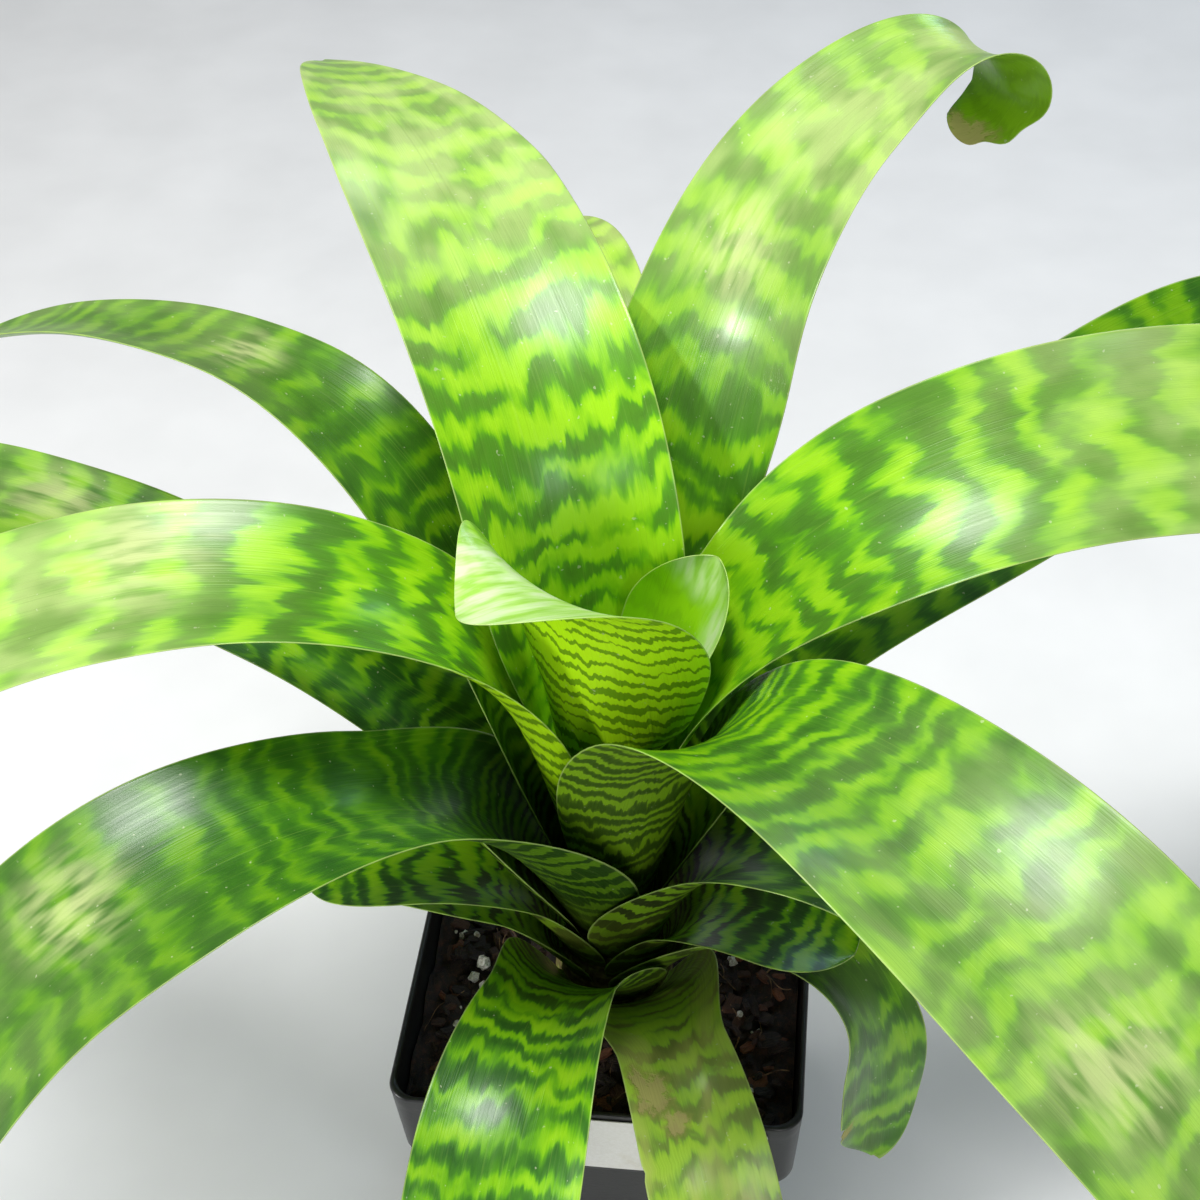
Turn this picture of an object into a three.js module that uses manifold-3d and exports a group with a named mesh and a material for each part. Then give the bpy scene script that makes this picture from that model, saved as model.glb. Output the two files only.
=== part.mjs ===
// King of bromeliads in a square nursery pot: a funnel of strap leaves on a short cone of stem,
// standing in bark mix. Millimetres, +Z up, pot's underside centred on the origin, front to -Y.
import * as THREE from "three";
import { mergeVertices } from "three/addons/utils/BufferGeometryUtils.js";
import Module from "manifold-3d";

const wasm = await Module();
wasm.setup();

// Pot: tapered wall below a taller collar
const POT_TOP = 90;
const COLLAR_TOP_HALF = 50;
const COLLAR_FOOT_HALF = 48.4;
const SHOULDER_Z = 64;
const WALL_TOP_HALF = 45.4;
const FOOT_HALF = 37;
const WALL = 1.5;
const FLOOR = 2;
const CORNER = 6;
const CORNER_STEPS = 4;
const CHAMFER = 0.8;
const CHAMFER_IN = 0.5;
const DRAIN_RADIUS = 4;
const DRAIN_OFFSET = 22;

// Label on the front of the collar
const LABEL_LEFT = -12;
const LABEL_RIGHT = 42;
const LABEL_TOP = 88.6;
const LABEL_HEIGHT = 22;
const LABEL_THICK = 0.4;

// Soil and stem
const SEAT = 0.3;
const SOIL_TOP = 80.5;
const SOIL_CELLS = 18;
const SOIL_OFF_WALL = 0.52;
const SOIL_CORNER_PULL = 0.04;
const SOIL_CORNER_POWER = 8;
const LEVEL_NEAR = 1;
const LEVEL_FAR = 10;
const STEM_FOOT_Z = 84;
const STEM_FOOT_RADIUS = 15.2;
const STEM_TIP_Z = 144;
const STEM_TIP_RADIUS = 2.6;
const PEG_RADIUS = 11;
const PEG_FOOT_Z = 58;
const PEG_TAPER = 6;
const STEM_SIDES = 24;

// Leaves: all lengths along the midrib, angles in degrees
const LEAF_THICK = 0.8;
const LEAF_SEAT = 0.5;
const LEAF_STATIONS = 20;
const LEAF_STRIPS = 6;
const SPINE_STEPS = 240;
const TIP_HALF = 0.8;
const TIP_CROWDING = 1.4;
const NECK_START = 0.1;
const TIP_ROUND = 0.62;

// Each leaf: azimuth round the stem, height of its foot, length and widest width; climb above level,
// half-angle of the channel and roll to the left at even steps from foot to tip.
const LEAVES = {
  heart_back: { azimuth: 20, foot: 140, length: 76, width: 33, climb: [84, 76, 70, 66, 62],
    channel: [80, 74, 60, 55, 50], roll: [0, 0, 0, 5, 10], swing: 30, wrap: 60, neck: 0.5, full: 0.7,
    blunt: 2 },
  heart_front: { azimuth: 270, foot: 135, length: 122, width: 56, climb: [83, 79, 80, 82, 55, -30],
    channel: [75, 70, 56, 44, 25, 20], roll: [0, 0, -10, 0, 10, 15], swing: -70, wrap: 48, open: 0.42,
    neck: 0.45, full: 0.65, taper: 0.8 },
  back_left: { azimuth: 116, foot: 131, length: 264, width: 52, climb: [80, 78, 27, 2, -18],
    channel: [75, 46, 24, 15, 12], roll: [0, 0, 0, 12, 15], swing: 8, neck: 0.92, full: 0.28,
    taper: 0.66, blunt: 1.6 },
  right_upper: { azimuth: 18, foot: 127, length: 270, width: 47, climb: [79, 66, 30, 2, -16, -40],
    channel: [75, 50, 28, 18, 16, 15], roll: [0, 4, 22, 36, 38, 34], wrap: 54, neck: 0.62, full: 0.46,
    wave: 0.4 },
  left_upper: { azimuth: 190, foot: 124, length: 262, width: 44, climb: [79, 72, 26, -7, -26, -35],
    channel: [75, 56, 32, 20, 18, 15], roll: [0, 8, 0, -8, -12, -12], swing: 4, neck: 0.9,
    full: 0.35 },
  back_right: { azimuth: 73, foot: 121, length: 247, width: 43,
    climb: [77, 73, 71, 69, 64, 54, 34, 0, -200], channel: [72, 36, 14, 14, 16, 26],
    roll: [0, 12, 19, 6, -4, -30], swing: -70, wrap: 50, neck: 0.56, full: 0.53, taper: 0.77 },
  back_far_left: { azimuth: 149, foot: 117, length: 260, width: 34, climb: [75, 66, 52, 4, -14, -30],
    channel: [72, 42, 28, 24, 22, 18], roll: [0, -6, -6, 14, 16, 12], swing: 16, neck: 0.68,
    full: 0.7 },
  front_right: { azimuth: 311, foot: 115, length: 292, width: 53, climb: [77, 71, 26, -7, -32, -58],
    channel: [75, 50, 32, 20, 18, 16], roll: [0, -4, -4, 8, 6, 0], swing: 12, wrap: 66, neck: 0.9,
    full: 0.4, wave: 0.8 },
  back: { azimuth: 97, foot: 113, length: 208, width: 40, climb: [74, 66, 62, 36, -10, -45],
    channel: [68, 50, 32, 22, 18, 15], swing: 26, wrap: 60 },
  right_lower: { azimuth: 34, foot: 110, length: 255, width: 46, climb: [73, 53, 22, 16, 2, -20],
    channel: [72, 48, 28, 18, 15, 15], roll: [0, 4, 12, 20, 28, 24], swing: 4 },
  left_front: { azimuth: 218, foot: 108, length: 256, width: 53, climb: [73, 56, 15, -15, -43, -58],
    channel: [70, 54, 30, 25, 20, 15], swing: 12, wrap: 82, open: 0.33, neck: 0.66, full: 0.62,
    wave: 0.8 },
  left_rear: { azimuth: 168, foot: 105, length: 250, width: 40, climb: [71, 47, 31, 20, -2, -18],
    channel: [70, 52, 32, 20, 18, 15], roll: [0, -4, 4, 4, 10, 8], swing: 10, wave: 0.6 },
  right_front_high: { azimuth: 334, foot: 102, length: 135, width: 40, climb: [72, 63, 43, 15, -10, -32],
    channel: [70, 60, 45, 30, 20, 15], wrap: 80, open: 0.34 },
  left_low_high: { azimuth: 199, foot: 99, length: 78, width: 31, climb: [71, 58, 42, 24, 8, -20],
    channel: [70, 60, 42, 30, 24, 15], wrap: 70 },
  right_front_low: { azimuth: 334, foot: 96, length: 70, width: 34, climb: [70, 61, 45, 26, 6, -10],
    channel: [70, 60, 45, 30, 20, 15], wrap: 66 },
  left_low: { azimuth: 187, foot: 93.5, length: 90, width: 36, climb: [69, 50, 31, 15, -4, -14],
    channel: [70, 60, 36, 26, 20, 15], roll: [0, -8, -6, 0, 4, 0], wrap: 68, taper: 0.66,
    blunt: 1.8 },
  right_low: { azimuth: 336, foot: 91, length: 130, width: 27, climb: [68, 47, 10, -64, -86, -90],
    channel: [70, 54, 40, 30, 20, 15], roll: [0, 0, 0, -12, 8, 0], swing: -36, wrap: 64, wave: 2 },
  front: { azimuth: 259, foot: 88.5, length: 161, width: 39, climb: [66, 43, 4, -32, -52, -76],
    channel: [70, 58, 36, 20, 20, 15], roll: [0, 6, 8, 0, 0, 0], swing: 14, wrap: 54 },
  front_low: { azimuth: 293, foot: 86, length: 140, width: 31, climb: [62, 26, -25, -54, -67, -74],
    channel: [70, 48, 28, 20, 15, 12], wrap: 60, neck: 0.84 },
};
// Where not given: swing of the heading, roll, half-angle the foot wraps round the stem, where the
// sheath parts from that wrap and is fully open, neck width and where the blade is full width,
// where the tip begins and how blunt it is, height of the edge waves.
const LEAF_DEFAULTS = { swing: 0, roll: [0, 0], wrap: 72, part: 0.05, open: 0.3, neck: 0.8, full: 0.55,
  taper: 0.72, blunt: 2.4, wave: 0 };
const WAVES_ALONG = 3;
const WAVE_START = 0.25;
const WAVE_FULL = 0.6;
const WAVE_SHIFT = 0.23;

const rad = (degrees) => degrees * Math.PI / 180;
const clamp01 = (x) => Math.min(Math.max(x, 0), 1);
const ease = (a, b, x) => { const t = clamp01((x - a) / (b - a)); return t * t * (3 - 2 * t); };

// Smooth curve through values spaced evenly from 0 to 1
function through(values, x) {
  const last = values.length - 1;
  const at = (i) => i < 0 ? 2 * values[0] - values[1]
    : i > last ? 2 * values[last] - values[last - 1] : values[i];
  const u = clamp01(x) * last;
  const i = Math.min(Math.floor(u), last - 1);
  const t = u - i;
  const [a, b, c, d] = [at(i - 1), at(i), at(i + 1), at(i + 2)];
  return b + 0.5 * t * (c - a + t * (2 * a - 5 * b + 4 * c - d + t * (3 * (b - c) + d - a)));
}

// Closed body from rings of equal length joined side by side, capped by fans at both ends
function loft(rings) {
  const n = rings[0].length;
  const points = rings.flat();
  const faces = [];
  for (let r = 0; r + 1 < rings.length; r++) {
    for (let k = 0; k < n; k++) {
      const [a, b] = [r * n + k, r * n + (k + 1) % n];
      faces.push(a, b, b + n, a, b + n, a + n);
    }
  }
  for (const [r, turn] of [[0, 1], [rings.length - 1, 0]]) {
    const centre = rings[r].reduce((sum, p) => sum.map((x, i) => x + p[i] / n), [0, 0, 0]);
    points.push(centre);
    for (let k = 0; k < n; k++) {
      const [a, b] = [r * n + k, r * n + (k + 1) % n];
      faces.push(...(turn ? [points.length - 1, b, a] : [points.length - 1, a, b]));
    }
  }
  return toGeometry(points, faces);
}

function toGeometry(points, faces) {
  const geometry = new THREE.BufferGeometry();
  geometry.setAttribute("position", new THREE.Float32BufferAttribute(points.flat(), 3));
  geometry.setIndex(faces);
  return geometry;
}

function toManifold(geometry) {
  const bare = new THREE.BufferGeometry();
  bare.setAttribute("position", geometry.getAttribute("position"));
  bare.setIndex(geometry.getIndex());
  const merged = mergeVertices(bare, 1e-4);
  return new wasm.Manifold(new wasm.Mesh({ numProp: 3,
    vertProperties: new Float32Array(merged.getAttribute("position").array),
    triVerts: new Uint32Array(merged.getIndex().array) }));
}

function fromManifold(body) {
  const mesh = body.getMesh();
  const geometry = new THREE.BufferGeometry();
  geometry.setAttribute("position", new THREE.BufferAttribute(mesh.vertProperties, 3));
  geometry.setIndex(new THREE.BufferAttribute(mesh.triVerts, 1));
  return geometry;
}

// Square ring with rounded corners, counter-clockwise from above
function squareRing(half, corner, z) {
  const ring = [];
  for (let q = 0; q < 4; q++) {
    const turn = q * Math.PI / 2;
    for (let k = 0; k <= CORNER_STEPS; k++) {
      const a = k / CORNER_STEPS * Math.PI / 2;
      const [x, y] = [half - corner + corner * Math.cos(a), half - corner + corner * Math.sin(a)];
      ring.push([x * Math.cos(turn) - y * Math.sin(turn), x * Math.sin(turn) + y * Math.cos(turn), z]);
    }
  }
  return ring;
}

const wallHalf = (z) => FOOT_HALF + (WALL_TOP_HALF - FOOT_HALF) * z / SHOULDER_Z;
const collarHalf = (z) => COLLAR_FOOT_HALF
  + (COLLAR_TOP_HALF - COLLAR_FOOT_HALF) * (z - SHOULDER_Z) / (POT_TOP - SHOULDER_Z);

// Tapered pot with a stepped collar and four drain holes in its floor
function pot() {
  const inner = CORNER - WALL;
  let body = toManifold(loft([
    squareRing(FOOT_HALF - CHAMFER_IN, CORNER - CHAMFER_IN, 0),
    squareRing(wallHalf(CHAMFER), CORNER, CHAMFER),
    squareRing(wallHalf(SHOULDER_Z - CHAMFER), CORNER, SHOULDER_Z - CHAMFER),
    squareRing(COLLAR_FOOT_HALF, CORNER, SHOULDER_Z),
    squareRing(collarHalf(POT_TOP - CHAMFER), CORNER, POT_TOP - CHAMFER),
    squareRing(COLLAR_TOP_HALF - CHAMFER_IN, CORNER - CHAMFER_IN, POT_TOP),
    squareRing(COLLAR_TOP_HALF - WALL, inner, POT_TOP),
    squareRing(COLLAR_FOOT_HALF - WALL, inner, SHOULDER_Z + WALL),
    squareRing(wallHalf(SHOULDER_Z) - WALL, inner, SHOULDER_Z),
    squareRing(wallHalf(FLOOR) - WALL, inner, FLOOR),
  ]));
  for (const [i, j] of [[1, 1], [-1, 1], [-1, -1], [1, -1]]) {
    body = body.subtract(upright(DRAIN_RADIUS, -1, FLOOR + 1, i * DRAIN_OFFSET, j * DRAIN_OFFSET));
  }
  return fromManifold(body);
}

// Round bar along Z, as a solid to cut with
function upright(radius, bottom, top, x = 0, y = 0) {
  const bar = new THREE.CylinderGeometry(radius, radius, top - bottom, STEM_SIDES);
  bar.rotateX(Math.PI / 2);
  bar.translate(x, y, (bottom + top) / 2);
  return toManifold(bar);
}

// Lumpy surface of the bark mix, level round the stem
function soilHeight(x, y) {
  const lumps = 1.1 * Math.sin(0.31 * x + 0.9) * Math.cos(0.27 * y - 0.4)
    + 0.8 * Math.sin(0.62 * x - 0.35 * y + 2.1) + 0.6 * Math.cos(0.18 * x + 0.71 * y);
  const away = ease(STEM_FOOT_RADIUS + LEVEL_NEAR, STEM_FOOT_RADIUS + LEVEL_FAR, Math.hypot(x, y));
  return (STEM_FOOT_Z - SEAT) * (1 - away) + (SOIL_TOP + lumps) * away;
}

// Bark mix: fills the pot a hair off its wall, with a plain hole for the foot of the stem
function soil() {
  const n = SOIL_CELLS;
  const off = WALL + SOIL_OFF_WALL;
  const place = (i, j, half, z) => {
    const [u, v] = [2 * i / n - 1, 2 * j / n - 1];
    const pull = half * (1 - SOIL_CORNER_PULL * (u * v) ** SOIL_CORNER_POWER);
    return [u * pull, v * pull, z];
  };
  const points = [];
  const faces = [];
  for (let j = 0; j <= n; j++) {
    for (let i = 0; i <= n; i++) {
      const [x, y] = place(i, j, collarHalf(SOIL_TOP) - off, 0);
      points.push([x, y, soilHeight(x, y)]);
    }
  }
  const top = (i, j) => j * (n + 1) + i;
  for (let j = 0; j < n; j++) {
    for (let i = 0; i < n; i++) {
      const [a, b, c, d] = [top(i, j), top(i + 1, j), top(i + 1, j + 1), top(i, j + 1)];
      faces.push(a, b, c, a, c, d);
    }
  }
  const border = [];
  for (let i = 0; i < n; i++) border.push([i, 0]);
  for (let j = 0; j < n; j++) border.push([n, j]);
  for (let i = n; i > 0; i--) border.push([i, n]);
  for (let j = n; j > 0; j--) border.push([0, j]);
  let above = border.map(([i, j]) => top(i, j));
  for (const [half, z] of [[COLLAR_FOOT_HALF - off, SHOULDER_Z + WALL + SEAT],
    [wallHalf(SHOULDER_Z) - off, SHOULDER_Z], [wallHalf(FLOOR) - off, FLOOR + SEAT]]) {
    const below = border.map(([i, j]) => points.push(place(i, j, half, z)) - 1);
    border.forEach((_, k) => {
      const next = (k + 1) % border.length;
      faces.push(above[k], below[k], below[next], above[k], below[next], above[next]);
    });
    above = below;
  }
  const centre = points.push([0, 0, FLOOR + SEAT]) - 1;
  above.forEach((a, k) => faces.push(centre, above[(k + 1) % above.length], a));
  const hole = upright(PEG_RADIUS + SEAT, PEG_FOOT_Z - SEAT, POT_TOP);
  return fromManifold(toManifold(toGeometry(points, faces)).subtract(hole));
}

const stemRadius = (z) => STEM_FOOT_RADIUS
  + (STEM_TIP_RADIUS - STEM_FOOT_RADIUS) * (z - STEM_FOOT_Z) / (STEM_TIP_Z - STEM_FOOT_Z);

// Cone that carries the leaves, with a peg below its foot that stands in the soil
function stem() {
  const profile = [[0, PEG_FOOT_Z], [PEG_RADIUS - 2, PEG_FOOT_Z], [PEG_RADIUS, PEG_FOOT_Z + PEG_TAPER],
    [PEG_RADIUS, STEM_FOOT_Z], [STEM_FOOT_RADIUS, STEM_FOOT_Z], [STEM_TIP_RADIUS, STEM_TIP_Z],
    [0, STEM_TIP_Z]].map(([r, z]) => new THREE.Vector2(r, z));
  return new THREE.LatheGeometry(profile, STEM_SIDES).rotateX(Math.PI / 2);
}

// Midrib: from a foot just off the stem, heading outwards, summed in small steps
function spine(leaf) {
  const radius = stemRadius(leaf.foot) + LEAF_SEAT + LEAF_THICK / 2;
  const start = rad(leaf.azimuth);
  const points = [[radius * Math.cos(start), radius * Math.sin(start), leaf.foot]];
  for (let k = 0; k < SPINE_STEPS; k++) {
    const s = (k + 0.5) / SPINE_STEPS;
    const climb = rad(through(leaf.climb, s));
    const heading = rad(leaf.azimuth + leaf.swing * s * s);
    const step = leaf.length / SPINE_STEPS;
    const [x, y, z] = points[k];
    points.push([x + step * Math.cos(climb) * Math.cos(heading),
      y + step * Math.cos(climb) * Math.sin(heading), z + step * Math.sin(climb)]);
  }
  return (s) => {
    const u = clamp01(s) * SPINE_STEPS;
    const i = Math.min(Math.floor(u), SPINE_STEPS - 1);
    return points[i].map((p, axis) => p + (u - i) * (points[i + 1][axis] - p));
  };
}

// Half-width of the strap: a neck, the full blade and a blunt rounded tip
function strapHalf(leaf, s) {
  const blade = leaf.width / 2 * (leaf.neck + (1 - leaf.neck) * ease(NECK_START, leaf.full, s));
  const x = clamp01((s - leaf.taper) / (1 - leaf.taper));
  return blade * (1 - x ** leaf.blunt) ** TIP_ROUND;
}

// Point of the middle surface: s runs from foot to tip, v from the right margin to the left.
// The sheath is the midrib turned round the stem's axis; the blade is an arc across the midrib.
function leafPoint(leaf, midrib, s, v) {
  const m = midrib(s);
  const climb = rad(through(leaf.climb, s));
  const heading = rad(leaf.azimuth + leaf.swing * s * s);
  const roll = rad(through(leaf.roll, s));
  const channel = rad(through(leaf.channel, s));
  const side = [-Math.sin(heading), Math.cos(heading), 0];
  const up = [-Math.sin(climb) * Math.cos(heading), -Math.sin(climb) * Math.sin(heading), Math.cos(climb)];
  const across = side.map((b, i) => b * Math.cos(roll) + up[i] * Math.sin(roll));
  const inward = side.map((b, i) => -b * Math.sin(roll) + up[i] * Math.cos(roll));
  const bend = Math.max(strapHalf(leaf, s), TIP_HALF) / channel;
  const phase = 2 * Math.PI * (WAVES_ALONG * s + WAVE_SHIFT * Math.sign(v));
  const wave = leaf.wave * ease(WAVE_START, WAVE_FULL, s) * v * v * Math.sin(phase);
  const blade = m.map((p, i) => p + across[i] * bend * Math.sin(channel * v)
    + inward[i] * (bend * (1 - Math.cos(channel * v)) + wave));
  const [turn, out] = [Math.atan2(m[1], m[0]) + rad(leaf.wrap) * v, Math.hypot(m[0], m[1])];
  const sheath = [out * Math.cos(turn), out * Math.sin(turn), m[2]];
  const free = ease(leaf.part, leaf.open, s);
  return sheath.map((p, i) => p + free * (blade[i] - p));
}

// Leaf as a thin closed sheet: the same triangles on both faces, joined round the edge
function leafBlade(given) {
  const leaf = { ...LEAF_DEFAULTS, ...given };
  const midrib = spine(leaf);
  const [rows, cols] = [LEAF_STATIONS + 1, LEAF_STRIPS + 1];
  const station = (i) => 1 - (1 - i / LEAF_STATIONS) ** TIP_CROWDING;
  const grid = [];
  for (let i = 0; i < rows; i++) {
    for (let j = 0; j < cols; j++) {
      grid.push(new THREE.Vector3(...leafPoint(leaf, midrib, station(i), 2 * j / LEAF_STRIPS - 1)));
    }
  }
  const at = (i, j) => grid[Math.min(Math.max(i, 0), rows - 1) * cols + Math.min(Math.max(j, 0), cols - 1)];
  const upper = [];
  const lower = [];
  for (let i = 0; i < rows; i++) {
    for (let j = 0; j < cols; j++) {
      const along = at(i + 1, j).clone().sub(at(i - 1, j));
      const across = at(i, j + 1).clone().sub(at(i, j - 1));
      const normal = along.cross(across).normalize().multiplyScalar(LEAF_THICK / 2);
      upper.push(at(i, j).clone().add(normal).toArray());
      lower.push(at(i, j).clone().sub(normal).toArray());
    }
  }
  const under = grid.length;
  const faces = [];
  for (let i = 0; i + 1 < rows; i++) {
    for (let j = 0; j + 1 < cols; j++) {
      const [a, b, c, d] = [i * cols + j, (i + 1) * cols + j, (i + 1) * cols + j + 1, i * cols + j + 1];
      faces.push(a, b, c, a, c, d);
      faces.push(under + a, under + c, under + b, under + a, under + d, under + c);
    }
  }
  const edge = [];
  for (let j = 0; j + 1 < cols; j++) edge.push(j);
  for (let i = 0; i + 1 < rows; i++) edge.push(i * cols + cols - 1);
  for (let j = cols - 1; j > 0; j--) edge.push((rows - 1) * cols + j);
  for (let i = rows - 1; i > 0; i--) edge.push(i * cols);
  edge.forEach((a, k) => {
    const b = edge[(k + 1) % edge.length];
    faces.push(a, b, under + b, a, under + b, under + a);
  });
  return toGeometry([...upper, ...lower], faces);
}

const group = new THREE.Group();

function add(name, geometry, color, roughness) {
  const mesh = new THREE.Mesh(geometry, new THREE.MeshStandardMaterial({ color, roughness }));
  geometry.computeVertexNormals();
  mesh.name = name;
  group.add(mesh);
  return mesh;
}

add("pot", pot(), 0x101112, 0.4);
add("soil", soil(), 0x2b1a12, 0.95);
add("stem", stem(), 0x8fa53c, 0.7);
for (const [name, leaf] of Object.entries(LEAVES)) add(`leaf_${name}`, leafBlade(leaf), 0x74b51a, 0.35);

// Bare paper label, parallel to the sloping front of the collar and just off it
const label = add("label", new THREE.BoxGeometry(LABEL_RIGHT - LABEL_LEFT, LABEL_THICK, LABEL_HEIGHT),
  0xf2f1ec, 0.8);
const labelZ = LABEL_TOP - LABEL_HEIGHT / 2;
label.position.set((LABEL_LEFT + LABEL_RIGHT) / 2, -(collarHalf(labelZ) + SEAT + LABEL_THICK / 2), labelZ);
label.rotation.x = Math.atan2(COLLAR_TOP_HALF - COLLAR_FOOT_HALF, POT_TOP - SHOULDER_Z);

export default group;
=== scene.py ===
# %% [markdown]
# # King of bromeliads in its nursery pot
# The plant is a funnel of strap leaves that sheathe one another round a short stem. It stands in
# bark mix in a square plastic pot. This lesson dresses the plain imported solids: every leaf is
# worked out again on a finer grid from the same formula, and the pot, the mix, the stem and the
# paper label get their real edges and finishes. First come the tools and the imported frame.

# %% Frame
import math

import bpy
import numpy as np
from mathutils import Matrix


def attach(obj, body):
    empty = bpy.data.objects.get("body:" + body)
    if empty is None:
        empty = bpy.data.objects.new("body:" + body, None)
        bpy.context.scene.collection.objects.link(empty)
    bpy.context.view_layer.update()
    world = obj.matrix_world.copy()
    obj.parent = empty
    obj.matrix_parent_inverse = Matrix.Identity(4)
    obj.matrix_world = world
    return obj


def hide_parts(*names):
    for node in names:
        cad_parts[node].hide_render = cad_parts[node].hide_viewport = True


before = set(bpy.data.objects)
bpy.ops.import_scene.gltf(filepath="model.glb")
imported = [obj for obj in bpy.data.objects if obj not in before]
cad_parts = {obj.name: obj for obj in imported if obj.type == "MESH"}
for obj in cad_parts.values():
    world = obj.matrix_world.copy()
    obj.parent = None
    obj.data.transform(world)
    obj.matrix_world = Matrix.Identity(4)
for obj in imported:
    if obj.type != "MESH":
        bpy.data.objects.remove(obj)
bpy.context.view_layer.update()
MM = 0.001
dice = np.random.default_rng(7)
print("packed nodes:", len(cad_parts))

# %% [markdown]
# ## Camera
# The pot's rim is a square, taken as 100 mm wide, so its four corners in the picture give the
# place, the tilt and the focal length of the camera. It looks down into the funnel from close
# by, which is why the near leaves run out of the frame.

# %% Camera
AIM = np.array([0.0, 0.0, 0.210])
DISTANCE = 0.432
AZIMUTH, ELEVATION, ROLL = np.radians([8.0, 42.0, -2.3])
FOCAL_LENGTH, FILM_WIDTH = 60, 36


def add_object(name, data):
    """Puts an object with this data into the scene."""
    made = bpy.data.objects.new(name, data)
    bpy.context.scene.collection.objects.link(made)
    return made


def axes_matrix(x, y, z, place):
    """Pose whose X, Y and Z axes point these ways, at a place."""
    return Matrix([[x[i], y[i], z[i], place[i]] for i in range(3)] + [[0, 0, 0, 1]])


back = np.array([math.sin(AZIMUTH) * math.cos(ELEVATION), -math.cos(AZIMUTH) * math.cos(ELEVATION),
                 math.sin(ELEVATION)])
level = np.cross(-back, [0, 0, 1])
level /= np.linalg.norm(level)
rise = np.cross(level, -back)
right = level * math.cos(ROLL) + rise * math.sin(ROLL)
up = rise * math.cos(ROLL) - level * math.sin(ROLL)
place = AIM + back * DISTANCE

lens = bpy.data.cameras.new("camera")
lens.lens, lens.sensor_width, lens.clip_start = FOCAL_LENGTH, FILM_WIDTH, 0.01
camera = add_object("camera", lens)
camera.matrix_world = axes_matrix(right, up, back, place)
bpy.context.scene.camera = camera
print("camera at", place.round(3))


# %% [markdown]
# ## Meshes from grids
# Everything new here is a surface on two parameters: rows along the piece, columns round it. Such
# a grid could be built point by point with bmesh, but numpy works out all points at once, and
# `foreach_set` hands whole arrays to Blender. The columns close into a tube, and a fan of
# triangles closes each end, so every piece is a sealed body.

# %% Meshes
def mesh_piece(name, points, quads, triangles=(), fields=None, smooth=True):
    """Object of the given points (in metres), four-sided faces, triangles and point attributes."""
    mesh = bpy.data.meshes.new(name)
    quads = np.asarray(quads, np.int32).reshape(-1, 4)
    triangles = np.asarray(triangles, np.int32).reshape(-1, 3)
    mesh.vertices.add(len(points))
    mesh.vertices.foreach_set("co", np.asarray(points, np.float32).ravel())
    mesh.loops.add(quads.size + triangles.size)
    mesh.loops.foreach_set("vertex_index", np.concatenate([quads.ravel(), triangles.ravel()]))
    mesh.polygons.add(len(quads) + len(triangles))
    starts = np.concatenate([np.arange(len(quads)) * 4, quads.size + np.arange(len(triangles)) * 3])
    mesh.polygons.foreach_set("loop_start", starts.astype(np.int32))
    mesh.update(calc_edges=True)
    mesh.validate()
    mesh.polygons.foreach_set("use_smooth", np.full(len(mesh.polygons), smooth))
    for field, values in (fields or {}).items():
        layer = mesh.attributes.new(field, "FLOAT_VECTOR", "POINT")
        layer.data.foreach_set("vector", np.asarray(values, np.float32).ravel())
    return add_object(name, mesh)


def tube_faces(rows, columns, first=0):
    """Faces of a grid whose columns close into a ring: quads between the rows, and triangles from
    the end rings to two more points, numbered straight after the grid's own."""
    i, j = np.meshgrid(np.arange(rows - 1), np.arange(columns), indexing="ij")
    a, b = i * columns + j, i * columns + (j + 1) % columns
    quads = np.stack([a, b, b + columns, a + columns], -1).reshape(-1, 4)
    j = np.arange(columns)
    after = (j + 1) % columns
    last = (rows - 1) * columns
    foot = np.stack([np.full(columns, rows * columns), after, j], -1)
    head = np.stack([np.full(columns, rows * columns + 1), last + j, last + after], -1)
    return quads + first, np.concatenate([foot, head]) + first


def with_ends(grid):
    """Points of a grid in one list, followed by the means of its first and its last ring."""
    return np.concatenate([grid.reshape(-1, 3), [grid[0].mean(0), grid[-1].mean(0)]])


def sealed_tube(name, grid, fields=None, smooth=True):
    """Closed body of a grid (rows, columns, 3), in mm, whose columns run round it. Each end is
    closed at the mean of its ring. The rings are taken the other way round if the body comes out
    with its faces inwards, which the sign of its volume tells."""
    rows, columns = grid.shape[:2]
    points = with_ends(grid) * MM
    quads, triangles = tube_faces(rows, columns)
    halves = np.concatenate([quads[:, [0, 1, 2]], quads[:, [0, 2, 3]], triangles])
    a, b, c = (points[halves[:, k]] for k in range(3))
    if np.einsum("ij,ij->i", a, np.cross(b, c)).sum() < 0:
        quads, triangles = quads[:, ::-1], triangles[:, ::-1]
    ended = {field: with_ends(values) for field, values in (fields or {}).items()}
    return mesh_piece(name, points, quads, triangles, ended, smooth)


def finish_piece(piece, node, material):
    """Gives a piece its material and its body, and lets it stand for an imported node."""
    piece.data.materials.append(material)
    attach(piece, "root")
    if node:
        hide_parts(node)


# %% [markdown]
# ## Shader sums
# A procedural finish is mostly arithmetic on masks. Wired by hand that is a tangle of Math nodes,
# so a small class wraps an output socket and turns Python's own operators into those nodes.
# `1 - mask * 0.4` then reads as it is meant. One method makes any other node.

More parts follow.
